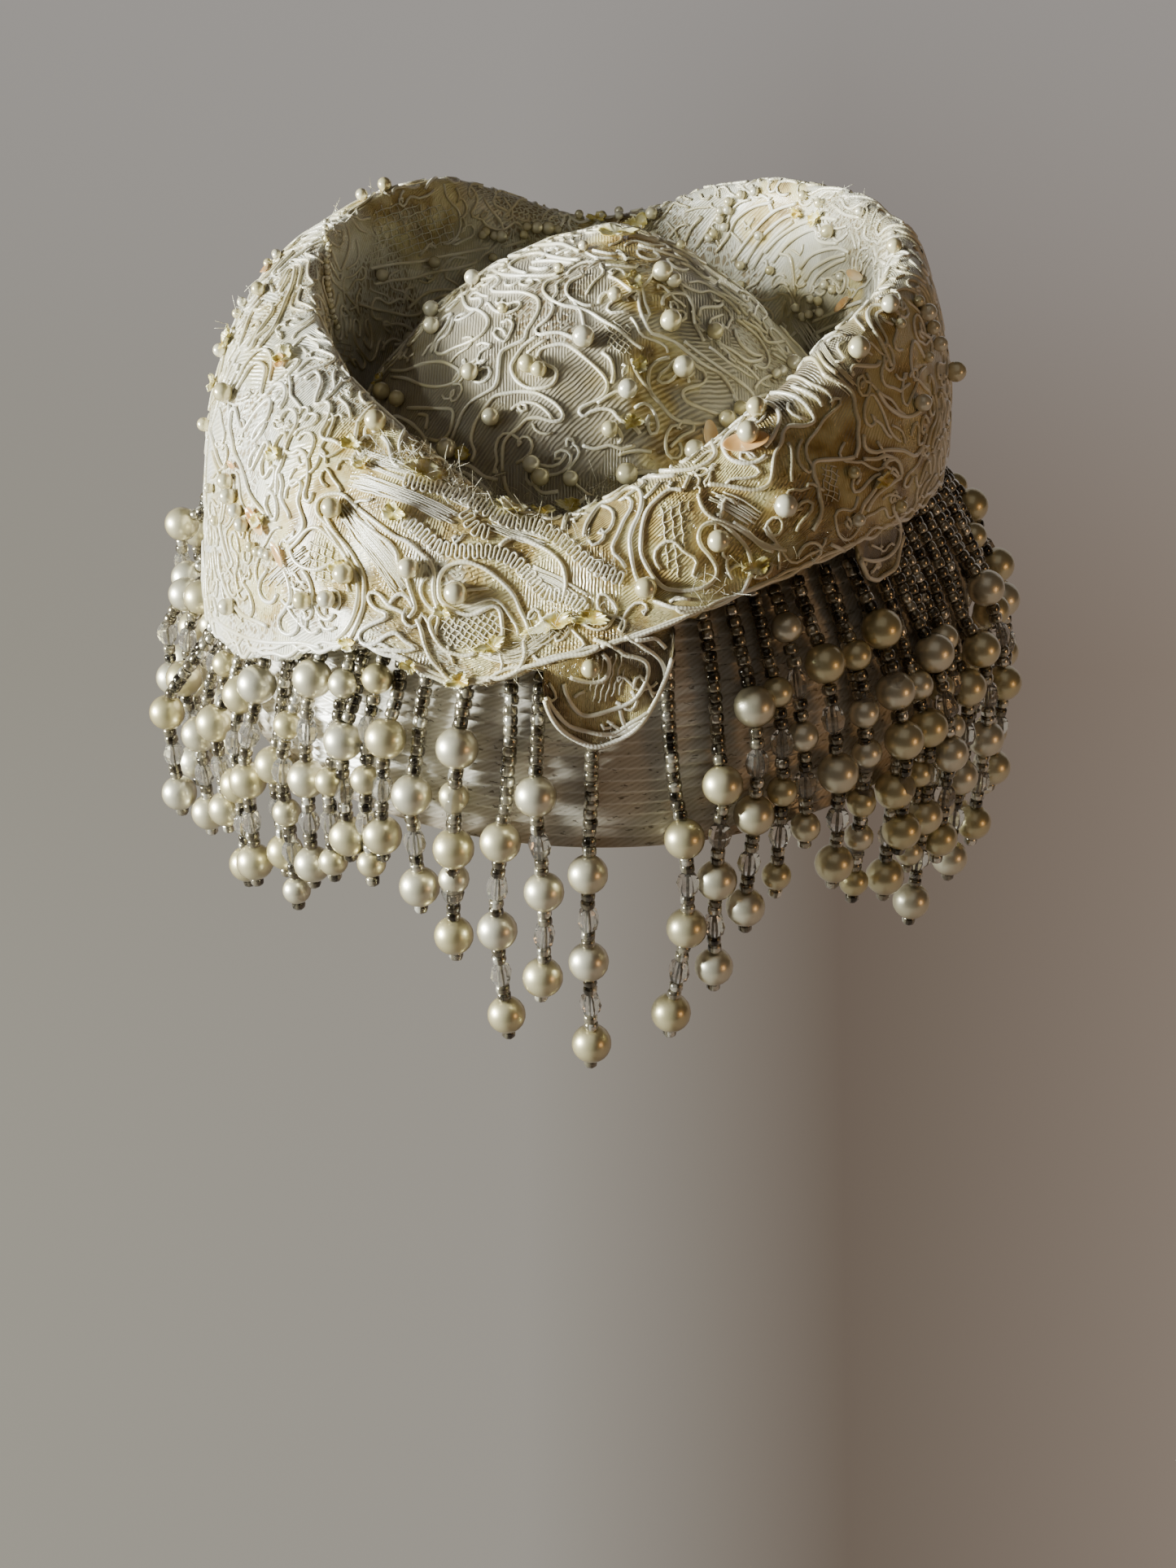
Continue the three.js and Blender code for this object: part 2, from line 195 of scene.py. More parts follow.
def grid_shape(points, uv, closed=False, **marks):
    """A sheet through a grid of points (rows, columns, 3), each face between four neighbours.
    A closed sheet's last column is the first one again, and is joined to it."""
    rows, columns = points.shape[:2]
    last = columns - 1 if closed else columns
    corners = np.stack([uv[:-1, :-1], uv[:-1, 1:], uv[1:, 1:], uv[1:, :-1]], axis=2)
    return {
        "points": points[:, :last].reshape(-1, 3),
        "faces": [grid_faces(rows, last, closed).reshape(-1, 4)],
        "uvs": [corners.reshape(-1, 4, 2)],
        "marks": {name: mark[:, :last].ravel() for name, mark in marks.items()},
    }


def tube_shape(path, outward, radius, sides=6, **marks):
    """A cord: round each point of the path a ring of the radius, square to the path, whose
    first point is on the outward side; a flat face closes each end."""
    count = len(path)
    along = unit(np.gradient(path, axis=0))
    side = unit(np.cross(along, outward))
    up = np.cross(side, along)
    angle = 2 * np.pi * np.arange(sides) / sides
    reach = np.broadcast_to(np.asarray(radius, float), (count,))[:, None, None]
    rings = np.cos(angle)[:, None] * up[:, None] + np.sin(angle)[:, None] * side[:, None]
    points = path[:, None] + reach * rings
    step, spoke = np.meshgrid(np.arange(count - 1), np.arange(sides), indexing="ij")
    quads = grid_faces(count, sides)
    length = np.concatenate([[0], np.cumsum(np.linalg.norm(np.diff(path, axis=0), axis=1))])
    round_share = np.stack([spoke, spoke + 1, spoke + 1, spoke], axis=-1) / sides
    run = np.stack([length[step], length[step], length[step + 1], length[step + 1]], axis=-1)
    ends = np.stack([np.arange(sides)[::-1], (count - 1) * sides + np.arange(sides)])
    return {
        "points": points.reshape(-1, 3),
        "faces": [quads.reshape(-1, 4), ends],
        "uvs": [np.stack([round_share, run], axis=-1).reshape(-1, 4, 2), np.zeros((2, sides, 2))],
        "marks": {name: np.full(count * sides, float(mark)) for name, mark in marks.items()},
    }


def turned_shape(profile, sides):
    """A small closed turned body: the profile's (radius, height) points carried round the
    upright axis. Its first and last point lie on the axis and are poles."""
    profile = np.asarray(profile, float)
    ring = profile[1:-1]
    angle = 2 * np.pi * np.arange(sides) / sides
    points = np.stack([ring[:, :1] * np.cos(angle), ring[:, :1] * np.sin(angle),
                       np.broadcast_to(ring[:, 1:], (len(ring), sides))], axis=-1).reshape(-1, 3)
    points = np.vstack([points, [0, 0, profile[0, 1]], [0, 0, profile[-1, 1]]])
    row, spoke = np.meshgrid(np.arange(len(ring) - 1), np.arange(sides), indexing="ij")
    quads = grid_faces(len(ring), sides)
    height = np.linspace(0, 1, len(ring))
    u = np.stack([spoke, spoke + 1, spoke + 1, spoke], axis=-1) / sides
    v = np.stack([height[row], height[row], height[row + 1], height[row + 1]], axis=-1)
    spokes = np.arange(sides)
    top = (len(ring) - 1) * sides
    low = np.stack([np.full(sides, len(points) - 2), (spokes + 1) % sides, spokes], axis=-1)
    high = np.stack([np.full(sides, len(points) - 1), top + spokes, top + (spokes + 1) % sides], axis=-1)
    return {
        "points": points,
        "faces": [quads.reshape(-1, 4), np.vstack([low, high])],
        "uvs": [np.stack([u, v], axis=-1).reshape(-1, 4, 2), np.zeros((2 * sides, 3, 2))],
        "marks": {},
    }


def copies(shape, centres, frames, sizes=1.0, **marks):
    """The shape at many centres: its x, y and z laid along each frame's three rows, times the
    size there."""
    centres = np.asarray(centres, float)
    sizes = np.broadcast_to(np.asarray(sizes, float).reshape(-1, 1, 1), (len(centres), 1, 1))
    points = centres[:, None] + sizes * np.einsum("kj,njc->nkc", shape["points"], frames)
    each = len(shape["points"])
    shift = (np.arange(len(centres)) * each)[:, None, None]
    return {
        "points": points.reshape(-1, 3),
        "faces": [(group[None] + shift).reshape(-1, group.shape[1]) for group in shape["faces"]],
        "uvs": [np.tile(uv, (len(centres), 1, 1)) for uv in shape["uvs"]],
        "marks": {name: np.repeat(mark, each) for name, mark in marks.items()},
    }


def frames_along(direction, outward):
    """For each direction three axes: sideways, outward and the direction itself."""
    direction = unit(direction)
    side = unit(np.cross(outward, direction))
    return np.stack([side, np.cross(direction, side), direction], axis=1)


def new_piece(name, shapes, material, slot=None, smooth=True, replaces=(), weld=False):
    """One object from shapes: their points and faces one after the other, in metres. With a
    slot it rides on the hat's one body, and it takes the place of the nodes that it replaces.
    Welding makes points at the same place one, which closes a sheet's seam."""
    starts = np.cumsum([0] + [len(shape["points"]) for shape in shapes])
    points = np.vstack([shape["points"] for shape in shapes])
    groups = [group + start for shape, start in zip(shapes, starts) for group in shape["faces"]]
    corners = np.concatenate([group.ravel() for group in groups])
    sizes = np.concatenate([np.full(len(group), group.shape[1]) for group in groups])
    mesh = bpy.data.meshes.new(name)
    mesh.vertices.add(len(points))
    mesh.vertices.foreach_set("co", (points * MM).ravel())
    mesh.loops.add(len(corners))
    mesh.loops.foreach_set("vertex_index", corners)
    mesh.polygons.add(len(sizes))
    mesh.polygons.foreach_set("loop_start", np.cumsum(sizes) - sizes)
    uvs = np.vstack([uv.reshape(-1, 2) for shape in shapes for uv in shape["uvs"]])
    mesh.uv_layers.new(name="UVMap").data.foreach_set("uv", uvs.ravel())
    for mark in shapes[0]["marks"]:
        values = np.concatenate([shape["marks"][mark] for shape in shapes])
        mesh.attributes.new(mark, "FLOAT", "POINT").data.foreach_set("value", values)
    mesh.update(calc_edges=True)
    mesh.polygons.foreach_set("use_smooth", np.full(len(sizes), smooth))
    if weld:
        whole = bmesh.new()
        whole.from_mesh(mesh)
        bmesh.ops.remove_doubles(whole, verts=whole.verts, dist=1e-6)
        open_edges = sum(edge.is_boundary for edge in whole.edges)
        print(f"{name}: {whole.calc_volume(signed=True) / MM**3:.0f} cubic mm, {open_edges} open edges")
        whole.to_mesh(mesh)
        whole.free()
    mesh.materials.append(material)
    piece = bpy.data.objects.new(name, mesh)
    bpy.context.scene.collection.objects.link(piece)
    if slot:
        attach(piece, "root")
    if replaces:
        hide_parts(*replaces)
    print(f"{name}: {int((sizes - 2).sum())} triangles")
    return piece


# %% [markdown]
# ## Materials
#
# A material starts from what the real one is. Colours are written as the hex values that a
# paint program shows and turned to linear light by one function, and one small function adds
# a node with its settings and links.

# %% Helpers for materials
def linear(colour):
    """A hex colour as linear red, green, blue and 1: each channel c becomes c / 12.92 when it
    is under 0.04045, and ((c + 0.055) / 1.055) to the power 2.4 above that."""
    channels = np.array([int(colour[start : start + 2], 16) for start in (1, 3, 5)]) / 255
    light = np.where(channels < 0.04045, channels / 12.92, ((channels + 0.055) / 1.055) ** 2.4)
    return (*light.tolist(), 1.0)


def new_material(name, colour, **sockets):
    """A material whose shader has the colour and these socket values."""
    material = bpy.data.materials.new(name)
    material.use_nodes = True
    shader = material.node_tree.nodes["Principled BSDF"]
    shader.inputs["Base Color"].default_value = linear(colour)
    for socket, value in sockets.items():
        shader.inputs[socket.replace("_", " ")].default_value = value
    return material


def add_node(material, kind, settings=None, ramp=None, **links):
    """Adds a node: settings are its own properties, ramp the (place, colour) stops of a colour
    ramp, and links the value or the other node's output for each of its sockets."""
    tree = material.node_tree
    node = tree.nodes.new("ShaderNode" + kind)
    for name, value in (settings or {}).items():
        setattr(node, name, value)
    if ramp:
        stops = node.color_ramp.elements
        while len(stops) < len(ramp):
            stops.new(1.0)
        for stop, (spot, colour) in zip(stops, ramp):
            stop.position = spot
            stop.color = linear(colour)
    for name, value in links.items():
        socket = node.inputs[int(name[1:]) if name[1:].isdigit() else name.replace("_", " ")]
        if isinstance(value, bpy.types.NodeSocket):
            tree.links.new(value, socket)
        else:
            socket.default_value = value
    return node


def join(material, output, socket):
    """Links an output to a socket of the material's shader."""
    material.node_tree.links.new(output, material.node_tree.nodes["Principled BSDF"].inputs[socket])


def bands(pitch):
    """The scale at which a wave texture's bands are the pitch apart: it draws one band every
    pi / 10 units."""
    return np.pi / 10 / pitch


# %% [markdown]
# ## The camera and the light
#
# The camera looks down at the hat's front from a little above it, as the photograph does.
# A large cool window to the left lights the outside of the left brim and the inside of the
# right one. A dim room of brownish grey fills the rest.

# %% Camera
camera = bpy.data.objects.new("camera", bpy.data.cameras.new("camera"))
camera.data.lens = 41.77
camera.data.sensor_width = 36
camera.data.clip_start = 0.01
camera.location = (-0.002345, -0.369255, 0.202203)
camera.rotation_euler = (np.radians(56.4), 0, 0)
bpy.context.scene.collection.objects.link(camera)
bpy.context.scene.camera = camera
bpy.context.view_layer.update()
print("camera", [round(value, 3) for value in camera.location])


# %% Lights, room and floor
def add_light(name, spot, target, size, power, colour):
    """A square lamp of the size at a spot, turned to face the target."""
    lamp = bpy.data.lights.new(name, "AREA")
    lamp.shape = "RECTANGLE"
    lamp.size, lamp.size_y = size
    lamp.energy = power
    lamp.color = linear(colour)[:3]
    light = bpy.data.objects.new(name, lamp)
    light.location = spot
    light.rotation_euler = (Vector(target) - Vector(spot)).to_track_quat("-Z", "Y").to_euler()
    bpy.context.scene.collection.objects.link(light)


add_light("window", (-0.9, -0.17, 0.172), (0, 0, 0.03), (0.34, 0.2), 37, "#f7fcf3")
add_light("room_glow", (-0.1, -0.4, 0.9), (0, 0, 0), (0.9, 0.9), 0.5, "#f2ece2")
add_light("lamp", (0.6, -0.45, 0.12), (0, 0, 0), (0.2, 0.2), 0.4, "#ffc78a")

# Sun on the far wall of the brim: a narrow beam from over the left crest.
SUN_FROM, SUN_AT = (-0.62, -0.3, 0.42), (0.055, 0.03, 0.075)
SUN_WATTS, SUN_WIDTH = 27, 7.5  # the width in degrees
beam = bpy.data.lights.new("sun_patch", "SPOT")
beam.energy = SUN_WATTS
beam.color = linear("#f6fbf0")[:3]
beam.spot_size = np.radians(SUN_WIDTH)
beam.spot_blend = 1.0
beam.shadow_soft_size = 0.03
sun_patch = bpy.data.objects.new("sun_patch", beam)
sun_patch.location = SUN_FROM
sun_patch.rotation_euler = (Vector(SUN_AT) - Vector(SUN_FROM)).to_track_quat("-Z", "Y").to_euler()
bpy.context.scene.collection.objects.link(sun_patch)

room = bpy.data.worlds.new("room")
room.use_nodes = True
room.node_tree.nodes["Background"].inputs["Color"].default_value = linear("#a3947f")
room.node_tree.nodes["Background"].inputs["Strength"].default_value = 0.09
bpy.context.scene.world = room

# The floor curves up into the backdrop at the far side, so no edge shows behind the hat.
# It lies flat for one share of its run, then bends up on a radius, and then stands upright.
FLOOR_DEPTH, FLOOR_NEAR, FLOOR_RUN, BEND_RADIUS, WALL_RISE = -0.3, -1.6, 2.7, 0.9, 5  # metres
FLAT_SHARE, BEND_SHARE = 0.45, 0.4
across_floor, along_floor = np.meshgrid(np.linspace(-2.5, 2.5, 21), np.linspace(0, 1, 41))
sweep = np.clip((along_floor - FLAT_SHARE) / BEND_SHARE, 0, 1) * np.pi / 2
floor_points = np.stack([
    across_floor,
    FLOOR_NEAR + FLOOR_RUN * np.minimum(along_floor / FLAT_SHARE, 1) + BEND_RADIUS * np.sin(sweep),
    FLOOR_DEPTH + BEND_RADIUS * (1 - np.cos(sweep))
    + WALL_RISE * np.maximum(along_floor - FLAT_SHARE - BEND_SHARE, 0),
], axis=-1) / MM
# The backdrop glows faintly by itself, so that it stays even: its colour goes from left to right
# by the share x / (y + 0.75), with a painted shadow of the hat darker right of the middle, and towards a cooler grey
# far away.
floor_paint = new_material("painted_backdrop", "#2c2a28", Roughness=0.9, Emission_Strength=1.0)
floor_spot = add_node(floor_paint, "SeparateXYZ", Vector=add_node(floor_paint, "TexCoord").outputs["Object"])
floor_reach = add_node(floor_paint, "Math", {"operation": "ADD"}, _0=floor_spot.outputs["Y"], _1=0.75)
floor_share = add_node(floor_paint, "Math", {"operation": "DIVIDE"},
                       _0=floor_spot.outputs["X"], _1=floor_reach.outputs["Value"])
floor_aside = add_node(floor_paint, "MapRange", Value=floor_share.outputs["Value"], From_Min=-0.3, From_Max=0.3)
# Painted shadow: the darkest stop, right of the middle, is the shadow of the hat and its stand.
floor_tone_with_painted_shadow = add_node(floor_paint, "ValToRGB", Fac=floor_aside.outputs["Result"],
                      ramp=[(0.0, "#8d887c"), (0.45, "#938d84"), (0.68, "#5c4d41"), (1.0, "#85776b")])
floor_far = add_node(floor_paint, "MapRange", Value=floor_spot.outputs["Y"], From_Min=0.5, From_Max=1.9)
floor_tone = add_node(floor_paint, "MixRGB", Fac=floor_far.outputs["Result"],
                      Color1=floor_tone_with_painted_shadow.outputs["Color"], Color2=linear("#a29e9b"))
join(floor_paint, floor_tone.outputs["Color"], "Emission Color")
floor = new_piece("floor", [grid_shape(floor_points, floor_points[..., :2] * MM)], floor_paint)

# %% [markdown]
# ## The straw band
#
# The band is a braid of glossy plastic straw, sewn round and round in rows about 2.3 mm deep,
# each lapping over the row below it. The rows are real relief in the mesh, because they show
# in the band's outline; the slanting strands in each row are far finer, so the material draws
# them from the band's own unrolled millimetres.

# %% Woven straw: a clear glossy ribbon, whitish, brown where dirt has settled, each row's lip with a painted highlight
STRAW_ROW = 2.3
STRAND_PITCH = 0.8

straw = new_material("woven_glossy_straw", "#ddd7cc", Roughness=0.27, Specular_IOR_Level=0.9)
straw_uv = add_node(straw, "UVMap").outputs["UV"]
straw_object = add_node(straw, "TexCoord").outputs["Object"]
slanted = add_node(straw, "Mapping", Vector=straw_uv, Rotation=(0, 0, np.radians(64)))
strands = add_node(straw, "TexWave", Vector=slanted.outputs["Vector"], Scale=bands(STRAND_PITCH),
                   Distortion=3.0, Detail=2.0, Detail_Scale=0.8)
slits = add_node(straw, "TexNoise", Scale=1.0, Detail=3.0, Roughness=0.6,
                 Vector=add_node(straw, "Mapping", Vector=straw_uv, Rotation=(0, 0, 0.5),
                                 Scale=(0.4, 1.3, 1)).outputs["Vector"])
worn = add_node(straw, "TexNoise", Scale=40.0, Detail=4.0, Vector=straw_object)
strand_tone = add_node(straw, "ValToRGB", Fac=strands.outputs["Fac"],
                       ramp=[(0.0, "#ddd6c9"), (0.5, "#e7e1d7"), (1.0, "#f1ece4")])
slit_mask = add_node(straw, "ValToRGB", Fac=slits.outputs["Fac"], ramp=[(0.34, "#d8d8d8"), (0.385, "#000000")])
slit_tone = add_node(straw, "MixRGB", Fac=slit_mask.outputs["Color"],
                     Color1=strand_tone.outputs["Color"], Color2=linear("#5f4f3a"))
worn_mask = add_node(straw, "ValToRGB", Fac=worn.outputs["Fac"], ramp=[(0.45, "#000000"), (0.8, "#a0a0a0")])
worn_tone = add_node(straw, "MixRGB", {"blend_type": "MULTIPLY"}, Fac=worn_mask.outputs["Color"],
                     Color1=slit_tone.outputs["Color"], Color2=linear("#d3c6ab"))
# Painted highlight: each row's lower lip is painted paler, where it catches the light.
row_lip_highlight = add_node(straw, "Attribute", {"attribute_name": "edge"})
lip_highlight_mask = add_node(straw, "ValToRGB", Fac=row_lip_highlight.outputs["Fac"], ramp=[(0.35, "#000000"), (0.75, "#b8b8b8")])
lip_highlighted_tone = add_node(straw, "MixRGB", Fac=lip_highlight_mask.outputs["Color"],
                      Color1=worn_tone.outputs["Color"], Color2=linear("#f4f0e6"))
dirt = add_node(straw, "Attribute", {"attribute_name": "dirt"})
straw_tone = add_node(straw, "MixRGB", {"blend_type": "MULTIPLY"}, Fac=dirt.outputs["Fac"],
                      Color1=lip_highlighted_tone.outputs["Color"], Color2=linear("#8a6a44"))
join(straw, straw_tone.outputs["Color"], "Base Color")
straw_relief = add_node(straw, "Bump", Height=strands.outputs["Fac"], Strength=0.12, Distance=0.15 * MM)
slit_relief = add_node(straw, "Bump", {"invert": True}, Height=slit_mask.outputs["Color"], Strength=0.6,
                       Distance=0.3 * MM, Normal=straw_relief.outputs["Normal"])
join(straw, slit_relief.outputs["Normal"], "Normal")
print("straw strands", STRAND_PITCH, "mm apart")

# %% The band's mesh
ROUND = 288
STRAW_WALL = 2.0

turns = np.linspace(0, 360, ROUND + 1)
row_count = int(band_height / STRAW_ROW)
row_steps = 6


def straw_profile():
    """The band's section (radius, height, dirt, row edge that gets a painted highlight): up the outside, each
    row a shingle whose lower lip stands 0.9 mm off the groove under it, over the ledge, and back down inside."""
    share = np.linspace(0, 1, row_count * row_steps + 1)
    height = share * band_height
    within = np.arange(len(share)) % row_steps / row_steps
    rib = np.where(within == 0, -0.45, 0.55 - 0.95 * within)
    edge = 1.0 * (np.arange(len(share)) % row_steps == 1)
    outside = np.stack([band_radius(height) + rib, height, 0.6 * (1 - np.minimum(height / 6, 1)), edge], axis=1)
    reach = np.linspace(0, 1, 9)[1:]
    top = np.stack([rim_radius - BAND_DRAW_IN - reach * LEDGE_WIDTH, np.full(8, band_height), 0 * reach, 0 * reach],
                   axis=1)
    down = top[::-1] - [0, STRAW_WALL, 0, 0]
    inner_height = np.linspace(band_height - STRAW_WALL, 0, 30)
    inside = np.stack([band_radius(inner_height) - STRAW_WALL, inner_height, 0 * inner_height + 0.3,
                       0 * inner_height], axis=1)
    return np.vstack([outside, top, down, inside, outside[:1]])


section = straw_profile()
rows, columns = np.meshgrid(np.arange(len(section)), np.arange(len(turns)), indexing="ij")
wobble = 0.25 * np.sin(np.radians(turns[columns] * 7)) * np.sin(section[rows, 1] * 0.5)
straw_points = place(section[rows, 0] + wobble, turns[columns], section[rows, 1])
run = np.concatenate([[0], np.cumsum(np.linalg.norm(np.diff(section[:, :2], axis=0), axis=1))])
straw_flat = np.stack([turns[columns] * np.pi / 180 * rim_radius, run[rows]], axis=-1)
new_piece(
    "straw_band_woven",
    [grid_shape(straw_points, straw_flat, closed=True, dirt=section[rows, 2], edge=section[rows, 3])],
    straw, "straw", replaces=("straw_band", "straw_shoulder"),
)

# %% [markdown]
# ## The lace-covered forms
#
# Crown and brim are stiff forms with lace glued over them. Each is one surface that any later
# piece can ask for a point, so that cords, pearls and glue lie on it wherever it goes. The
# form isn't smooth: the lace puckers, so a sum of slow waves moves it in and out.

# %% Surfaces of the brim and the crown
def pucker(turn, share, seed):
    """Slow waves over a form, in mm: 14 sines of differing direction, length and size, summed."""
    dice = np.random.default_rng(seed)
    waves = zip(dice.integers(3, 26, 14), dice.uniform(-14, 16, 14), dice.uniform(0, 6, 14),
                dice.uniform(0.03, 0.13, 14))
    total = 0
    for turns_per_lap, waves_up, phase, size in waves:
        total = total + size * np.sin(np.radians(turn * turns_per_lap) + share * waves_up + phase)
    return total


def roll_out(share):
    """A radius as a share of the way from the brim's foot to the rim."""
    return roll_foot + share * (rim_radius - roll_foot)


def roll_controls(turn):
    """The brim's section: eight points from the hem over belly and crest to the foot."""
    crest, lift, bulge, swell, round_off = (across(ROLL_SECTIONS, column, turn) for column in range(1, 6))
    hem = roll_out(across(HEM_SECTIONS, 1, turn)), across(HEM_SECTIONS, 2, turn) * band_height
    belly = roll_out(bulge), seat_height + swell * ROLL_RISE
    top = roll_out(crest), seat_height + lift * ROLL_RISE
    outward, upward = belly[0] - top[0], top[1] - belly[1]
    inward, depth = top[0] - roll_foot, top[1] - seat_height
    radius = [hem[0], hem[0] * 0.45 + belly[0] * 0.55 + 0.6, belly[0], belly[0] - 0.36 * outward,
              top[0] + round_off * outward, top[0] - round_off * inward,
              roll_foot + 0.42 * inward, roll_foot + 0 * hem[0]]
    height = [hem[1], hem[1] * 0.45 + belly[1] * 0.55, belly[1], belly[1] + 0.68 * upward,
              top[1], top[1] - 0.06 * depth, seat_height + 0.5 * depth, seat_height + 0 * hem[0]]
    return np.stack(np.broadcast_arrays(*radius)), np.stack(np.broadcast_arrays(*height))


def through(controls, share):
    """A Catmull-Rom curve through the controls: between two of them a cubic whose slope at each
    is half of the way from the one before to the one after."""
    last = len(controls) - 1
    along = np.clip(share, 0, 1) * last
    start = np.minimum(along.astype(int), last - 1)
    u = along - start

    def pick(step):
        """The controls that lie a step on from each place."""
        index = np.clip(start + step, 0, last)
        return np.take_along_axis(controls, index[None], axis=0)[0]

    before, here, there, after = (pick(step) for step in (-1, 0, 1, 2))
    before = np.where(start == 0, 2 * here - there, before)
    after = np.where(start == last - 1, 2 * there - here, after)
    return 0.5 * (2 * here + (there - before) * u + (2 * before - 5 * here + 4 * there - after) * u**2
                  + (3 * here - before - 3 * there + after) * u**3)


def plain_roll(turn, share):
    """A point of the smooth brim: its section's curve at the turn."""
    turn, share = np.broadcast_arrays(np.asarray(turn, float), np.asarray(share, float))
    radius, height = roll_controls(turn)
    return place(through(radius, share), turn, through(height, share))


def plain_crown(turn, share):
    """A point of the smooth crown: out by a share of its foot's radius, sunk from the top by a
    power of that share, with a soft ridge that is a bell across and fades to the foot."""
    turn, share = np.broadcast_arrays(np.asarray(turn, float), np.asarray(share, float))
    flat = place(share * crown_foot, turn, 0)
    aside = (flat[..., 0] - RIDGE_OFFSET) / RIDGE_WIDTH
    reach = np.clip(1 - (np.hypot(flat[..., 0], flat[..., 1]) / (crown_foot * oval_ratio)) ** 2, 0, 1)
    height = seat_height + CROWN_RISE * (1 - share**CROWN_CURVE)
    flat[..., 2] = height + RIDGE_HEIGHT * reach * np.exp(-2 * aside**2)
    return flat


def outward_of(surface, turn, share, sign):
    """The direction out of a surface: square to its two directions, by small steps in each."""
    along = surface(turn + 0.5, share) - surface(turn - 0.5, share)
    up = surface(turn, np.clip(share + 0.01, 0, 1)) - surface(turn, np.clip(share - 0.01, 0, 1))
    return unit(np.cross(along, up)) * sign


def roll_surface(turn, share, lift=0.0):
    """A point of the puckered brim, lifted off it. The pucker fades out at the foot."""
    fade = np.clip((1 - share) * 6, 0, 1)
    out = outward_of(plain_roll, turn, share, 1)
    return plain_roll(turn, share) + out * (lift + fade * pucker(turn, share, 4))[..., None]


def crown_surface(turn, share, lift=0.0):
    """A point of the puckered crown, lifted off it. The pucker fades out at the foot."""
    fade = np.clip((1 - share) * 6, 0, 1)
    near = np.maximum(share, 0.02)
    out = outward_of(plain_crown, turn, near, -1)
    spot = plain_crown(turn, share)
    steady = pucker(np.degrees(spot[..., 0] * 0.02), spot[..., 1] * 0.02, 9) * 0.8
    return spot + out * (lift + fade * steady)[..., None]


print("brim crest at the front", roll_surface(np.array([-12.0]), np.array([0.65])).round(1))

# %% [markdown]
# ## Drawing from the camera
#
# The lace's pattern is drawn the way a maker pins trim on: seen from the front, point by
# point. A point of the photograph's frame becomes a line of sight, and where that line first
# meets the forms is where the cord lies, so it sits on the cloth from every other side too.

# %% Lines of sight
PHOTO_WIDTH, PHOTO_HEIGHT = 1445, 1927
FORM_COLUMNS = 360

form_turns = np.linspace(0, 360, FORM_COLUMNS + 1)


def form_grid(surface, shares, lift):
    """A surface's points for these shares (rows) at every turn (columns)."""
    share, turn = np.meshgrid(shares, form_turns, indexing="ij")
    return surface(turn, share, lift), np.stack([turn, share], axis=-1)


def hanging_leaf(from_turn, to_turn, hang, flare, rows=26, columns=60):
    """A leaf of lace under the hem: across it the turn, down it a depth that is greatest in
    the middle, as a sine, and its tip standing out by the flare."""
    down, side = np.meshgrid(np.linspace(1, 0, rows), np.linspace(0, 1, columns), indexing="ij")
    turn = from_turn + side * (to_turn - from_turn)
    depth = (0.12 + 0.88 * np.sin(np.pi * side) ** 0.55) * hang * band_height
    hem = plain_roll(turn, 0 * turn)
    curl = 0.35 * np.sin(side * 19) * down + 0.3 * np.sin(side * 9 + 1)
    points = hem + place(down * flare + curl - 0.4, turn, -down * depth)
    return points, np.stack([side * 40, down * hang * band_height], axis=-1)


LEAVES = {
    # from turn, to turn, hang, flare
    "lace_motif_front": (-7, 9, 0.4, 2.4),
    "lace_motif_right": (38, 51, 0.2, 0.8),
}
leaf_grids = {name: hanging_leaf(*row) for name, row in LEAVES.items()}
brim_grid, brim_params = form_grid(roll_surface, np.linspace(0, 1, 91), 0.0)
crown_grid, _ = form_grid(crown_surface, np.linspace(1, 0, 61), 0.0)
crown_grid[-1] = crown_grid[-1].mean(axis=0)

form_points, form_faces = [], []
for grid in [brim_grid, crown_grid, *(points for points, _ in leaf_grids.values())]:
    shape = grid_shape(grid, np.zeros((*grid.shape[:2], 2)))
    form_faces.append(shape["faces"][0] + sum(len(points) for points in form_points))
    form_points.append(shape["points"])
forms = BVHTree.FromPolygons(np.vstack(form_points).tolist(), np.vstack(form_faces).tolist())
eye = camera.location / MM


def sight(u, v):
    """The direction of sight through a point of the photograph's frame."""
    focal = camera.data.lens / camera.data.sensor_width * PHOTO_HEIGHT
    return camera.matrix_world.to_3x3() @ Vector((u - PHOTO_WIDTH / 2, PHOTO_HEIGHT / 2 - v, -focal))


def pin(pixels):
    """Where the lines of sight through these frame points meet the forms: points and outward
    directions, with not-a-number where a line misses."""
    found = []
    for u, v in pixels:
        spot, out, _, _ = forms.ray_cast(eye, sight(u, v).normalized())
        found.append([*spot, *out] if spot else [np.nan] * 6)
    found = np.array(found)
    points, out = found[:, :3], found[:, 3:]
    facing = np.sign(np.einsum("ij,ij->i", np.array(eye) - points, out))
    return points, out * facing[:, None]


def smooth_line(points, step):
    """Points a step apart on a Catmull-Rom curve through the given ones."""
    points = np.asarray(points, float)
    ends = np.vstack([2 * points[0] - points[1], points, 2 * points[-1] - points[-2]])
    before, here, there, after = (ends[start : len(ends) - 3 + start, None] for start in range(4))
    u = np.linspace(0, 1, 16, endpoint=False)[:, None]
    curve = 0.5 * (2 * here + (there - before) * u + (2 * before - 5 * here + 4 * there - after) * u**2
                   + (3 * here - before - 3 * there + after) * u**3)
    curve = np.vstack([curve.reshape(-1, points.shape[1]), points[-1]])
    length = np.concatenate([[0], np.cumsum(np.linalg.norm(np.diff(curve, axis=0), axis=1))])
    even = np.linspace(0, length[-1], max(3, int(length[-1] / step) + 1))
    return np.stack([np.interp(even, length, column) for column in curve.T], axis=1)


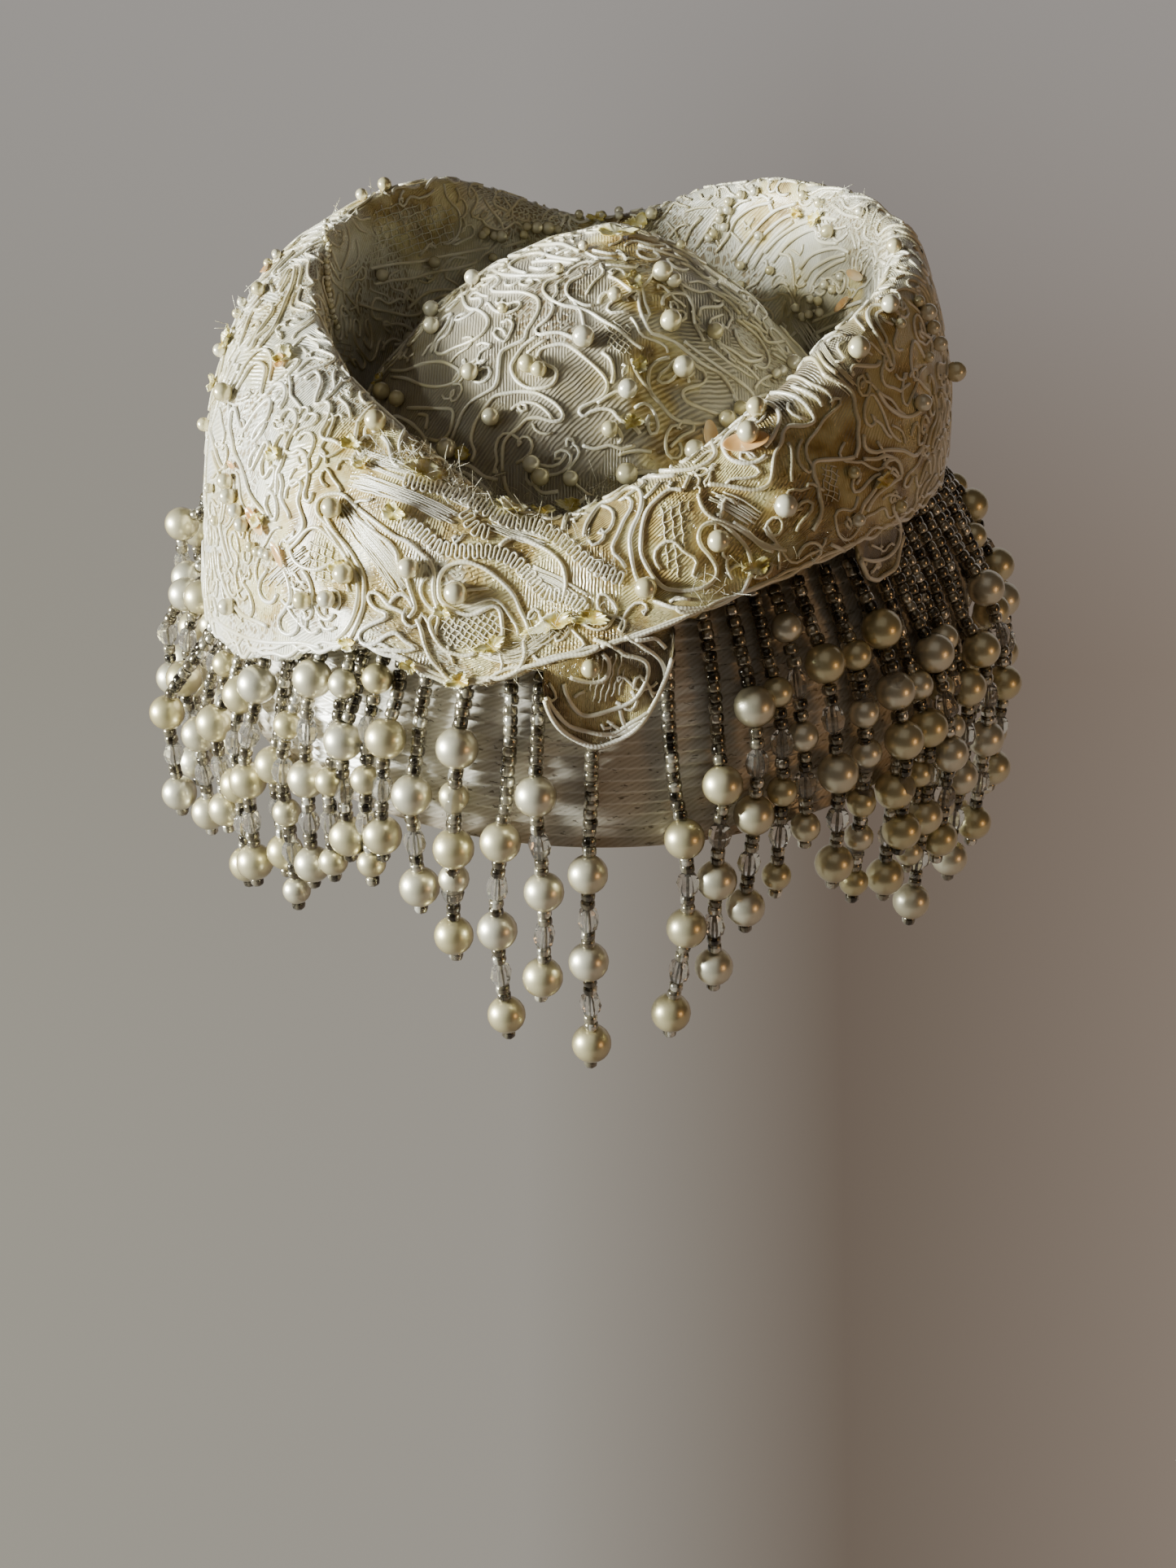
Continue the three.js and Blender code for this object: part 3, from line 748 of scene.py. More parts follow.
def pinned_lines(pixels, step=4.5, jump=4.0):
    """A smooth line of frame points pinned to the forms, cut where it falls off an edge."""
    points, out = pin(smooth_line(pixels, step))
    gap = np.linalg.norm(np.diff(points, axis=0), axis=1)
    cuts = np.flatnonzero(~(gap < jump)) + 1
    pieces = zip(np.split(points, cuts), np.split(out, cuts))
    return [(line, aside) for line, aside in pieces if len(line) > 2 and np.isfinite(line).all()]


print("the middle of the crown is", pin([(780, 420)])[0].round(1))

# %% [markdown]
# ## Organza stiffened with glue
#
# Under the cords lies organza: fine parallel threads, cream where it is clean, ochre and
# shiny where the glue has aged. Where the glue sits is a mark on the mesh, so the same cloth
# can be clean on one lobe and stained at the torn front.

# %% Where the glue has yellowed
GLUE_SPOTS = np.array([
    # across, down, radius in mm, strength
    [250, 480, 9, 0.8], [205, 420, 7, 0.7], [240, 330, 8, 0.6], [300, 300, 6, 0.5],
    [405, 650, 12, 0.9], [440, 690, 10, 0.8], [430, 575, 9, 0.8], [520, 575, 8, 0.9],
    [560, 590, 7, 0.8], [604, 798, 5, 1.0], [290, 640, 7, 0.5], [330, 730, 7, 0.5],
    [420, 800, 6, 0.7], [510, 760, 8, 0.4], [640, 660, 9, 0.9], [700, 640, 9, 0.9],
    [700, 760, 9, 0.9], [740, 700, 10, 0.8], [775, 650, 8, 0.8], [690, 800, 9, 0.7],
    [740, 860, 8, 0.8], [840, 690, 13, 0.9], [930, 690, 14, 0.9], [980, 640, 15, 1.0],
    [1050, 600, 14, 0.9], [1090, 560, 13, 0.9], [1120, 500, 12, 1.0], [1110, 420, 10, 0.8],
    [770, 300, 7, 1.0], [750, 275, 6, 1.0], [790, 360, 5, 0.8], [810, 450, 6, 0.7],
    [800, 500, 5, 0.6], [830, 560, 6, 0.7], [520, 255, 12, 0.5], [470, 240, 8, 0.5],
    [960, 240, 6, 0.8], [930, 275, 5, 0.6], [1050, 355, 4, 0.6], [790, 700, 6, 0.8],
    [560, 640, 8, 0.6], [600, 700, 6, 0.5], [640, 770, 7, 0.5],
])


def glue_at(points):
    """How much glue shows at each point: a bell round each spot, the greatest of them."""
    centres = pin(GLUE_SPOTS[:, :2])[0]
    seen = np.isfinite(centres[:, 0])
    amount = np.zeros(len(points))
    for centre, (_, _, radius, strength) in zip(centres[seen], GLUE_SPOTS[seen]):
        distance = np.linalg.norm(points - centre, axis=1)
        amount = np.maximum(amount, strength * np.exp(-((distance / radius) ** 2)))
    return amount


# Painted shade: brown is multiplied into the cloth's colour where the hat's own shadow falls, most on the crown's left,
# and in a bell on the brim's front right.
CROWN_PAINTED_SHADE, CROWN_PAINTED_SHADE_LOSS, CROWN_PAINTED_SHADE_REACH = 0.68, 0.4, 50
BRIM_PAINTED_SHADE_MIDDLE, BRIM_PAINTED_SHADE_WIDTH, BRIM_PAINTED_SHADE_BACK = 26, 26, 30  # mm in x, in x and in y


def painted_shade_at(points, crown=False):
    """How much painted shade darkens the cloth: on the crown most, less to its right; on the brim a
    bell across its right side."""
    if crown:
        return CROWN_PAINTED_SHADE - CROWN_PAINTED_SHADE_LOSS * np.clip(points[:, 0] / CROWN_PAINTED_SHADE_REACH, 0, 1)
    bell = np.exp(-(((points[:, 0] - BRIM_PAINTED_SHADE_MIDDLE) / BRIM_PAINTED_SHADE_WIDTH) ** 2))
    return bell * (points[:, 1] < BRIM_PAINTED_SHADE_BACK)


# %% Organza: sheer stiff cloth, fine threads and lace net over a cream ground, glossy with glue, darkened by painted shade
THREAD_PITCH = 0.6  # drawn twice as coarse as the real thread, so that it shows
NET_CELL = 1.5

organza = new_material("glued_organza", "#e6dcc2", Roughness=0.3, Specular_IOR_Level=1.0,
                       Coat_Weight=0.35, Coat_Roughness=0.18)
cloth_uv = add_node(organza, "UVMap").outputs["UV"]
cloth_object = add_node(organza, "TexCoord").outputs["Object"]
bent = add_node(organza, "TexNoise", Scale=60.0, Detail=1.0, Vector=cloth_object)
threads_up = add_node(organza, "TexWave", Scale=bands(THREAD_PITCH), Distortion=2.5, Detail=2.0, Vector=cloth_uv)
leaning = add_node(organza, "Mapping", Vector=cloth_uv, Rotation=(0, 0, np.radians(58)))
threads_leaning = add_node(organza, "TexWave", Scale=bands(THREAD_PITCH * 1.2), Distortion=2.5, Detail=2.0,
                           Vector=leaning.outputs["Vector"])
side_mask = add_node(organza, "ValToRGB", Fac=bent.outputs["Fac"], ramp=[(0.47, "#000000"), (0.53, "#ffffff")])
threads = add_node(organza, "MixRGB", Fac=side_mask.outputs["Color"],
                   Color1=threads_up.outputs["Color"], Color2=threads_leaning.outputs["Color"])
cloudy = add_node(organza, "TexNoise", Scale=75.0, Detail=6.0, Roughness=0.65, Vector=cloth_object)
ground = add_node(organza, "ValToRGB", Fac=cloudy.outputs["Fac"],
                  ramp=[(0.26, "#cdb97a"), (0.4, "#ebe4c6"), (0.56, "#f9f6e8")])
thread_tone = add_node(organza, "MixRGB", {"blend_type": "MULTIPLY"}, Fac=0.3,
                       Color1=ground.outputs["Color"], Color2=threads.outputs["Color"])

# Net: the lace's own mesh, light threads round small dark holes, where a slow noise allows it.
cells = add_node(organza, "TexVoronoi", {"feature": "DISTANCE_TO_EDGE"}, Scale=1 / NET_CELL, Vector=cloth_uv)
cell_hole = add_node(organza, "ValToRGB", Fac=cells.outputs["Distance"], ramp=[(0.1, "#000000"), (0.2, "#ffffff")])
net_where = add_node(organza, "TexNoise", Scale=38.0, Detail=2.0,
                     Vector=add_node(organza, "Mapping", Vector=cloth_object, Location=(3, 1, 2)).outputs["Vector"])
net_mask = add_node(organza, "ValToRGB", Fac=net_where.outputs["Fac"], ramp=[(0.5, "#000000"), (0.56, "#ffffff")])
net_hole = add_node(organza, "MixRGB", {"blend_type": "MULTIPLY"}, Fac=1.0,
                    Color1=cell_hole.outputs["Color"], Color2=net_mask.outputs["Color"])
net_dim = add_node(organza, "Math", {"operation": "MULTIPLY"}, _0=net_hole.outputs["Color"], _1=0.75)
netted = add_node(organza, "MixRGB", Fac=net_dim.outputs["Value"],
                  Color1=thread_tone.outputs["Color"], Color2=linear("#8d7446"))

# Painted shade: a mark on the mesh multiplies the cloth's colour towards brown where the hat's own shadow falls.
sheer = add_node(organza, "Attribute", {"attribute_name": "sheer"})
shaded = add_node(organza, "MixRGB", {"blend_type": "MULTIPLY"}, Fac=sheer.outputs["Fac"],
                  Color1=netted.outputs["Color"], Color2=linear("#84745a"))

glue = add_node(organza, "Attribute", {"attribute_name": "glue"})
patchy = add_node(organza, "TexNoise", Scale=150.0, Detail=4.0, Vector=cloth_object)
glue_amount = add_node(organza, "Math", {"operation": "MULTIPLY_ADD"},
                       _0=glue.outputs["Fac"], _1=1.7, _2=patchy.outputs["Fac"])
glue_mask = add_node(organza, "ValToRGB", Fac=glue_amount.outputs["Value"],
                     ramp=[(0.67, "#000000"), (1.02, "#efefef")])
glue_tone = add_node(organza, "ValToRGB", Fac=patchy.outputs["Fac"],
                     ramp=[(0.34, "#8b6f37"), (0.46, "#c8ad68"), (0.6, "#ecdfa4")])
stained = add_node(organza, "MixRGB", Fac=glue_mask.outputs["Color"],
                   Color1=shaded.outputs["Color"], Color2=glue_tone.outputs["Color"])
join(organza, stained.outputs["Color"], "Base Color")
gloss = add_node(organza, "MapRange", Value=glue_mask.outputs["Color"], To_Min=0.3, To_Max=0.16)
join(organza, gloss.outputs["Result"], "Roughness")
crinkle = add_node(organza, "TexNoise", Scale=900.0, Detail=3.0, Vector=cloth_object)
crinkle_relief = add_node(organza, "Bump", Height=crinkle.outputs["Fac"], Strength=0.4, Distance=0.2 * MM)
thread_relief = add_node(organza, "Bump", Height=threads.outputs["Color"], Strength=0.75, Distance=0.22 * MM,
                         Normal=crinkle_relief.outputs["Normal"])
net_relief = add_node(organza, "Bump", {"invert": True}, Height=net_hole.outputs["Color"], Strength=0.6,
                      Distance=0.35 * MM, Normal=thread_relief.outputs["Normal"])
lumps = add_node(organza, "Bump", Height=patchy.outputs["Fac"], Strength=0.5, Distance=1.0 * MM,
                 Normal=net_relief.outputs["Normal"])
join(organza, lumps.outputs["Normal"], "Normal")
print("organza threads", THREAD_PITCH, "mm apart, net cells", NET_CELL, "mm")


# %% The brim, the crown and the leaves
def two_sided(grid, params, inner, closed, millimetres):
    """A wall from a grid of outer points and the same of inner ones: out along the first, back
    along the second and round to the start. Texture coordinates are the outer ones' mm."""
    points = np.concatenate([grid, inner[::-1], grid[:1]])
    flat = params * millimetres
    shape = grid_shape(points, np.concatenate([flat, flat[::-1], flat[:1]]), closed=closed)
    # The glue mark is real staining; the second mark is painted shade.
    shape["marks"] = {"glue": glue_at(shape["points"]), "sheer": painted_shade_at(shape["points"])}
    return shape


MM_PER_TURN = np.pi / 180 * 75  # round the hat, at the brim's middle radius

inner_brim, _ = form_grid(roll_surface, np.linspace(0, 1, 91), -ROLL_WALL)
inner_brim[-1] = place(roll_foot + ROLL_WALL, form_turns, seat_height)
brim_grid[-1] = place(roll_foot, form_turns, seat_height)
torn = np.random.default_rng(12).normal(0, 0.35, FORM_COLUMNS + 1)
torn[-1] = torn[0]
brim_grid[0, :, 2] += torn
inner_brim[0, :, 2] += torn
brim_cloth = new_piece("brim_organza", [two_sided(brim_grid, brim_params, inner_brim, True, [MM_PER_TURN, 88])],
                       organza, "brim_lace", replaces=("brim_roll",), weld=True)

inner_crown, _ = form_grid(crown_surface, np.linspace(1, 0, 61), -CROWN_WALL)
inner_crown[-1] = inner_crown[-1].mean(axis=0)
inner_crown[0] = place(crown_foot - CROWN_WALL, form_turns, seat_height)
crown_flat = np.stack([crown_grid[..., 0], crown_grid[..., 1]], axis=-1)
crown_shape = grid_shape(np.concatenate([crown_grid, inner_crown[::-1], crown_grid[:1]]),
                         np.concatenate([crown_flat, crown_flat[::-1], crown_flat[:1]]), closed=True)
# On the crown the painted shade is deepest on the left, where the brim's left crest shades it.
crown_shape["marks"] = {"glue": glue_at(crown_shape["points"]), "sheer": painted_shade_at(crown_shape["points"], crown=True)}
crown_cloth = new_piece("crown_organza", [crown_shape], organza, "crown_lace", replaces=("crown",), weld=True)

for name, (points, flat) in leaf_grids.items():
    # The back is 1 mm behind the front and meets it at both side edges, so that the leaf closes.
    depth = 1.0 * np.minimum(1, 20 * np.sin(np.pi * np.linspace(0, 1, points.shape[1])))
    depth[[0, -1]] = 0
    back = points - unit(points * [1, 1, 0]) * depth[:, None]
    wall = np.concatenate([points, back[::-1], points[:1]])
    leaf = grid_shape(wall, np.concatenate([flat, flat[::-1], flat[:1]]))
    # Each leaf hangs in the brim's shade, so it is painted fully shaded, with a little glue everywhere.
    leaf["marks"] = {"glue": np.maximum(0.6 * glue_at(leaf["points"]), 0.1), "sheer": 1 + 0 * leaf["points"][:, 0]}
    new_piece(name + "_organza", [leaf], organza, "brim_lace", replaces=(name,), weld=True)

# %% [markdown]
# ## The fringe
#
# Each string is threaded the same way from its lower end: a seed bead as a stop, a pearl, two
# seeds, a clear bead, two seeds, a pearl, the same again up to the third pearl, or to the fifth
# on the hat's left, and then seeds all the way up under the brim. A string is first laid as a
# curve down the band, and each bead is then threaded at its own length along it, a little
# crooked as real beads sit.

# %% Where the strings hang
PEARL = 8.0
SMALL_PEARL = 6.0
SEED = 2.65
SEED_LENGTH = 1.9
CRYSTAL_LENGTH = 5.6
FRINGE_DROP = 45
STRING_SLACK = 0.5
HEAD_ROOM = 4
PLAIN_STRING_COUNT = 31
MOST_PEARLS, MOST_PEARLS_LEFT, LEFT_TURNS = 3, 5, (205, 305)
FAR_OFF = 12  # mm off the band, from where a string leans out within its upper half
SWAY_LENGTH, SWAY_END = 38, 2.2  # mm to half a wave, and the wave's end in half waves

FRONT_STRINGS = np.array([
    # turn, drop, pearl, off, sway
    [-57.5, 0.68, PEARL, 2, 0.8], [-48.5, 0.43, PEARL, 0, -0.6], [-41.5, 0.38, PEARL, 0, 0.5],
    [-34.5, 0.11, PEARL, 0, -0.4], [-28.6, 0.03, PEARL, 0, 0.6], [-24, 0.25, PEARL, 0, -0.5],
    [-18.6, 0.47, PEARL, 0, 0.7], [-12.5, 0.87, PEARL, 0, 1.0], [-7.6, 0.63, PEARL, 0, -0.9],
    [-1.3, 1, PEARL, 0, 0.4], [10, 0.84, PEARL, 0, -1.6], [15, 0.61, PEARL, 0, 0.5],
    [19.4, 0.31, PEARL, 0, 0.8], [23.5, 0.2, SMALL_PEARL, 0, 0.3], [27, -0.02, SMALL_PEARL, 0, -0.3],
    [31.5, 0.22, PEARL, 0, -0.6], [36.5, 0.4, SMALL_PEARL, 0, 0.4], [42, 0.45, PEARL, 0, 0.5],
    [47.6, 0.68, PEARL, 1.5, -0.6], [53, 0.5, SMALL_PEARL, 0, 0.4], [58.5, 0.66, PEARL, 1.5, 0.5],
])


def all_strings():
    """The front strings, then those round the back: long and short by turns in six scallops,
    every other one an inner string of smaller pearls, and the outer ones standing off."""
    strings = [tuple(row) for row in FRONT_STRINGS]
    first = FRONT_STRINGS[-1, 0]
    span = FRONT_STRINGS[0, 0] + 360 - first
    for index in range(1, PLAIN_STRING_COUNT + 1):
        turn = first + span * index / (PLAIN_STRING_COUNT + 1)
        inner = index % 2 == 1
        drop = 0.5 + 0.26 * np.cos(np.radians(6 * turn)) - (0.14 if inner else 0)
        off = 0 if inner else 2 + 9 * max(0.0, -np.sin(np.radians(turn)))
        strings.append((turn, drop, SMALL_PEARL if inner else PEARL, off, 0.6 * np.sin(index * 2.4)))
    return strings


# Under and between them hang more strings, which the frame leaves out for their number.
UNDER_STRINGS = [
    # turn, drop, pearl, off, sway
    (-128, 0.5, PEARL, 17, 0.5), (-122, 0.36, PEARL, 19, -0.5), (-116, 0.58, PEARL, 17, 0.5),
    (-110.5, 0.34, PEARL, 18, -0.4), (-104, 0.62, PEARL, 15, 0.5), (-95.5, 0.3, PEARL, 11, -0.5),
    (-107, 0.39, PEARL, 6, 0.5), (-99.5, 0.62, PEARL, 5.5, -0.5), (-92, 0.5, PEARL, 6, 0.4),
    (-84.7, 0.66, PEARL, 5.5, 0.5), (-76.5, 0.48, PEARL, 6, -0.5), (-69, 0.62, PEARL, 5, 0.6),
    (-61.5, 0.42, PEARL, 3.5, -0.4), (-53, 0.56, PEARL, 3, 0.6), (-45, 0.56, SMALL_PEARL, 2.5, -0.5),
    (-36.6, 0.27, SMALL_PEARL, 2, 0.5), (-30.8, 0.2, SMALL_PEARL, 1.5, -0.3), (-18.9, 0.18, SMALL_PEARL, 0, 0.4),
    (36.8, 0.16, SMALL_PEARL, 0, 0.5), (42.1, 0.18, PEARL, 2, -0.5), (47.1, 0.4, SMALL_PEARL, 1, 0.4),
    (51, 0.38, PEARL, 3, -0.4), (55.3, 0.3, SMALL_PEARL, 1, 0.5), (62.3, 0.52, PEARL, 4, -0.5),
    (70, 0.36, PEARL, 4.5, 0.5), (78.9, 0.56, PEARL, 4, -0.4), (85, 0.5, PEARL, 4, 0.4),
]


def string_line(turn, drop, pearl, off, sway):
    """A string's curve and its pearls' heights: from under the hem down the band, clear of it by
    the pearl, off the rim and plumb down, leaning out by a smooth step where it stands off."""
    hem = across(HEM_SECTIONS, 2, turn) * band_height
    top = min(hem + HEAD_ROOM, band_height - HEAD_ROOM)
    pitch = pearl + 4 * SEED_LENGTH + CRYSTAL_LENGTH
    lowest = -drop * FRINGE_DROP
    highest = min(top - pearl, hem - pearl / 2 - 1)
    most = MOST_PEARLS_LEFT if LEFT_TURNS[0] < turn % 360 < LEFT_TURNS[1] else MOST_PEARLS
    centres = [lowest + pitch * step for step in range(most) if step == 0 or lowest + pitch * step < highest]
    height = np.linspace(top, lowest - pearl / 2 - SEED_LENGTH, 160)
    free = hem if off > 3 else hem - 2 * HEAD_ROOM
    slope = BAND_DRAW_IN * BAND_CURVE / band_height * np.clip(height / band_height, 0, 1) ** (BAND_CURVE - 1)
    near_pearl = np.clip((max(centres) + pearl - height) / pearl, 0, 1)
    half = (SEED + (pearl - SEED) * near_pearl) / 2
    share = np.clip((free - height) / (free * (0.5 if off > FAR_OFF else 1)), 0, 1)
    lean = off * share**2 * (3 - 2 * share)
    radius = band_radius(height) + (half + CLEARANCE + STRING_SLACK) * np.hypot(1, slope) + lean
    drift = sway * np.sin(np.clip((top - height) / SWAY_LENGTH, 0, SWAY_END) * np.pi)
    return place(radius, turn + np.degrees(drift / rim_radius), height), sorted(centres, reverse=True)


strings = all_strings() + UNDER_STRINGS
print(len(strings), "strings,", len(UNDER_STRINGS), "of them under the frame's")

# %% The beads as they are threaded
dice = np.random.default_rng(31)
pearl_spots = {PEARL: [], SMALL_PEARL: []}
seed_spots, crystal_spots, thread_lines = [], [], []

for string in strings:
    line, centres = string_line(*string)
    pearl = string[2]
    length = np.concatenate([[0], np.cumsum(np.linalg.norm(np.diff(line, axis=0), axis=1))])
    along = unit(np.gradient(line, axis=0))
    outward = unit(line * [1, 1, 0])

    def threaded(spot):
        """The point, direction and outward side at a length along the string."""
        return [np.stack([np.interp(spot, length, column) for column in table.T], axis=-1)
                for table in (line, along, outward)]

    at_height = np.interp(centres, line[::-1, 2], length[::-1])
    for spot in at_height:
        pearl_spots[pearl].append(np.concatenate(threaded(spot)))
    for upper, lower in zip(at_height[:-1], at_height[1:]):
        middle = (upper + lower) / 2
        crystal_spots.append(np.concatenate(threaded(middle)))
        room = (lower - upper) / 2 - pearl / 2 - CRYSTAL_LENGTH / 2
        for side in (-1, 1):
            for step in (0.25, 0.75):
                seed_spots.append(np.concatenate(threaded(middle + side * (CRYSTAL_LENGTH / 2 + room * step))))
    seed_spots.append(np.concatenate(threaded(at_height[-1] + pearl / 2 + SEED_LENGTH * 0.4)))
    head = np.arange(at_height[0] - pearl / 2 - SEED_LENGTH * 0.35, 1.0, -SEED_LENGTH * 1.02)
    seed_spots.extend(np.concatenate(threaded(spot)) for spot in head)
    thread_lines.append((line, outward))

seed_spots = np.array(seed_spots)
crystal_spots = np.array(crystal_spots)
pearl_spots = {size: np.array(spots) for size, spots in pearl_spots.items()}
print(len(seed_spots), "seed beads,", len(crystal_spots), "clear beads,",
      {size: len(spots) for size, spots in pearl_spots.items()}, "pearls")

# %% [markdown]
# ## Pearls, seed beads and clear beads
#
# The pearls are glass balls dipped in a nacre lacquer: a soft metallic glow under a hard clear
# coat. The seed beads are clear glass with a square silver-lined hole, so that each shows one
# bright and one dark flat of its lining; that glitter is a painted reflection, a random brightness
# painted on each of its four flats. The clear beads are pressed glass with ribs.

# %% Imitation pearl: nacre lacquer on glass, a soft glow under a hard clear coat
nacre = new_material("pearl_lacquer", "#e4dbc2", Metallic=0.66, Roughness=0.36, Coat_Weight=1.0,
                     Coat_Roughness=0.045, Coat_IOR=1.6, Specular_IOR_Level=0.7)
nacre_object = add_node(nacre, "TexCoord").outputs["Object"]
nacre_cloud = add_node(nacre, "TexNoise", Scale=260.0, Detail=2.0, Vector=nacre_object)
nacre_each = add_node(nacre, "Attribute", {"attribute_name": "tint"})
nacre_mix = add_node(nacre, "Math", {"operation": "MULTIPLY_ADD"},
                     _0=nacre_cloud.outputs["Fac"], _1=0.35, _2=nacre_each.outputs["Fac"])
nacre_tone = add_node(nacre, "ValToRGB", Fac=nacre_mix.outputs["Value"],
                      ramp=[(0.1, "#ebe0ae"), (0.6, "#f5edc9"), (1.0, "#fcf8e4")])
edge = add_node(nacre, "LayerWeight", Blend=0.35)
rim_tone = add_node(nacre, "MixRGB", {"blend_type": "MULTIPLY"}, Fac=edge.outputs["Facing"],
                    Color1=nacre_tone.outputs["Color"], Color2=linear("#a89766"))
join(nacre, rim_tone.outputs["Color"], "Base Color")

# %% Silver-lined seed bead: clear glass over square bright foil, with painted reflections on its flats
lined_glass = new_material("silver_lined_glass", "#b5ac9c", Metallic=0.68, Roughness=0.2,
                           Coat_Weight=1.0, Coat_Roughness=0.04)
bead_uv = add_node(lined_glass, "UVMap").outputs["UV"]
bead_each = add_node(lined_glass, "Attribute", {"attribute_name": "tint"})
# Painted reflection: each of a bead's four flats gets its own random brightness, from near black to near white.
flat_number = add_node(lined_glass, "Math", {"operation": "FLOOR"}, _0=add_node(
    lined_glass, "Math", {"operation": "MULTIPLY"}, _1=4.0,
    _0=add_node(lined_glass, "SeparateXYZ", Vector=bead_uv).outputs["X"]).outputs["Value"])
flat_key = add_node(lined_glass, "CombineXYZ", X=flat_number.outputs["Value"],
                    Y=add_node(lined_glass, "Math", {"operation": "MULTIPLY"}, _0=bead_each.outputs["Fac"],
                               _1=917.0).outputs["Value"])
flat_painted_glint = add_node(lined_glass, "TexWhiteNoise", {"noise_dimensions": "2D"}, Vector=flat_key.outputs["Vector"])
flat_painted_reflection = add_node(lined_glass, "ValToRGB", Fac=flat_painted_glint.outputs["Value"],
                     ramp=[(0.0, "#1f1a13"), (0.32, "#4a4133"), (0.6, "#8d8370"), (0.82, "#cfc8b4"), (0.95, "#fdfaf0")])
flat_wave = add_node(lined_glass, "TexWave", Scale=bands(0.25), Vector=bead_uv)
flat_mask = add_node(lined_glass, "ValToRGB", Fac=flat_wave.outputs["Fac"], ramp=[(0.1, "#000000"), (0.35, "#ffffff")])
bead_painted_reflection_tone = add_node(lined_glass, "MixRGB", Fac=flat_mask.outputs["Color"],
                     Color1=linear("#8f8876"), Color2=flat_painted_reflection.outputs["Color"])
join(lined_glass, bead_painted_reflection_tone.outputs["Color"], "Base Color")

# %% Pressed clear glass, faintly cloudy
clear_glass = new_material("pressed_clear_glass", "#f6f3ee", Roughness=0.06, Transmission_Weight=0.92, IOR=1.5)
clear_object = add_node(clear_glass, "TexCoord").outputs["Object"]
clear_waves = add_node(clear_glass, "TexNoise", Scale=900.0, Detail=1.0, Vector=clear_object)
clear_relief = add_node(clear_glass, "Bump", Height=clear_waves.outputs["Fac"], Strength=0.3, Distance=0.2 * MM)
join(clear_glass, clear_relief.outputs["Normal"], "Normal")

# %% Nylon thread through the beads
thread = new_material("bead_thread", "#8d8577", Roughness=0.6)
thread_grain = add_node(thread, "TexNoise", Scale=800.0, Vector=add_node(thread, "TexCoord").outputs["Object"])
thread_tones = add_node(thread, "ValToRGB", Fac=thread_grain.outputs["Fac"], ramp=[(0.4, "#6c6558"), (0.6, "#a39b8c")])
join(thread, thread_tones.outputs["Color"], "Base Color")
print("fringe finishes:", nacre.name, lined_glass.name, clear_glass.name)


# %% Bead shapes
def ball(width, sides, rings):
    """A ball with a small dent at each pole where the hole is: a half circle's profile."""
    angle = np.linspace(-np.pi / 2, np.pi / 2, rings)
    radius = width / 2 * np.cos(angle)
    height = width / 2 * np.sin(angle)
    profile = np.stack([radius, height], axis=1)
    profile[[1, -2], 1] *= 0.985
    profile[[0, -1], 0] = 0
    profile[[0, -1], 1] *= 0.9
    return turned_shape(profile, sides)


def barrel(width, length, sides):
    """A short barrel: straight sides with a rounded edge, and a dent at both ends."""
    half, out = length / 2, width / 2
    profile = [[0, -half * 0.7], [out * 0.45, -half * 0.97], [out * 0.86, -half * 0.9], [out, -half * 0.45],
               [out, half * 0.45], [out * 0.86, half * 0.9], [out * 0.45, half * 0.97], [0, half * 0.7]]
    return turned_shape(profile, sides)


def ribbed(width, length, sides=12):
    """A pressed bead with ribs: an oval profile, every other point of a ring drawn in."""
    profile = [[0, -length / 2], [width * 0.2, -length / 2], [width * 0.4, -length * 0.33], [width * 0.5, 0],
               [width * 0.4, length * 0.33], [width * 0.2, length / 2], [0, length / 2]]
    shape = turned_shape(profile, sides)
    spoke = np.arange(len(shape["points"]) - 2) % 2
    shape["points"][:-2, :2] *= (1 - 0.1 * spoke)[:, None]
    return shape


def crooked(spots, tilt, shift, seed):
    """Bead centres and frames, each bead pushed aside by up to the shift, tilted and turned
    about its hole by a random angle."""
    dice = np.random.default_rng(seed)
    count = len(spots)
    centres = spots[:, :3] + dice.uniform(-shift, shift, (count, 3))
    frames = frames_along(spots[:, 3:6] + dice.normal(0, tilt, (count, 3)), spots[:, 6:9])
    angle = dice.uniform(0, 2 * np.pi, count)[:, None]
    first = frames[:, 0] * np.cos(angle) + frames[:, 1] * np.sin(angle)
    second = frames[:, 1] * np.cos(angle) - frames[:, 0] * np.sin(angle)
    return centres, np.stack([first, second, frames[:, 2]], axis=1), dice.uniform(0, 1, count)


all_strands = [f"strand_{number:02d}" for number in range(1, len(strings) - len(UNDER_STRINGS) + 1)]
for size, slot, seed in ((PEARL, "pearl", 5), (SMALL_PEARL, "small_pearl", 6)):
    centres, frames, tint = crooked(pearl_spots[size], 0.03, 0.12, seed)
    spread = np.random.default_rng(seed).uniform(0.97, 1.02, len(centres))
    new_piece("fringe_" + slot + "s", [copies(ball(size, 20, 13), centres, frames, spread, tint=tint)],
              nacre, slot, replaces=all_strands)
for side, spots in (("left", seed_spots[seed_spots[:, 0] < 0]), ("right", seed_spots[seed_spots[:, 0] >= 0])):
    centres, frames, tint = crooked(spots, 0.07, 0.13, 7)
    new_piece("fringe_seed_beads_" + side, [copies(barrel(SEED * 1.1, SEED_LENGTH * 1.06, 8), centres, frames, 1.0,
                                                   tint=tint)],
              lined_glass, "seed_bead", replaces=all_strands)
centres, frames, tint = crooked(crystal_spots, 0.05, 0.1, 8)
new_piece("fringe_clear_beads", [copies(ribbed(4.6, CRYSTAL_LENGTH), centres, frames, 1.0, tint=tint)],
          clear_glass, "crystal", smooth=False, replaces=all_strands)
new_piece("fringe_threads", [tube_shape(line[::4], outward[::4], 0.28, 5) for line, outward in thread_lines],
          thread, "seed_bead", replaces=all_strands)

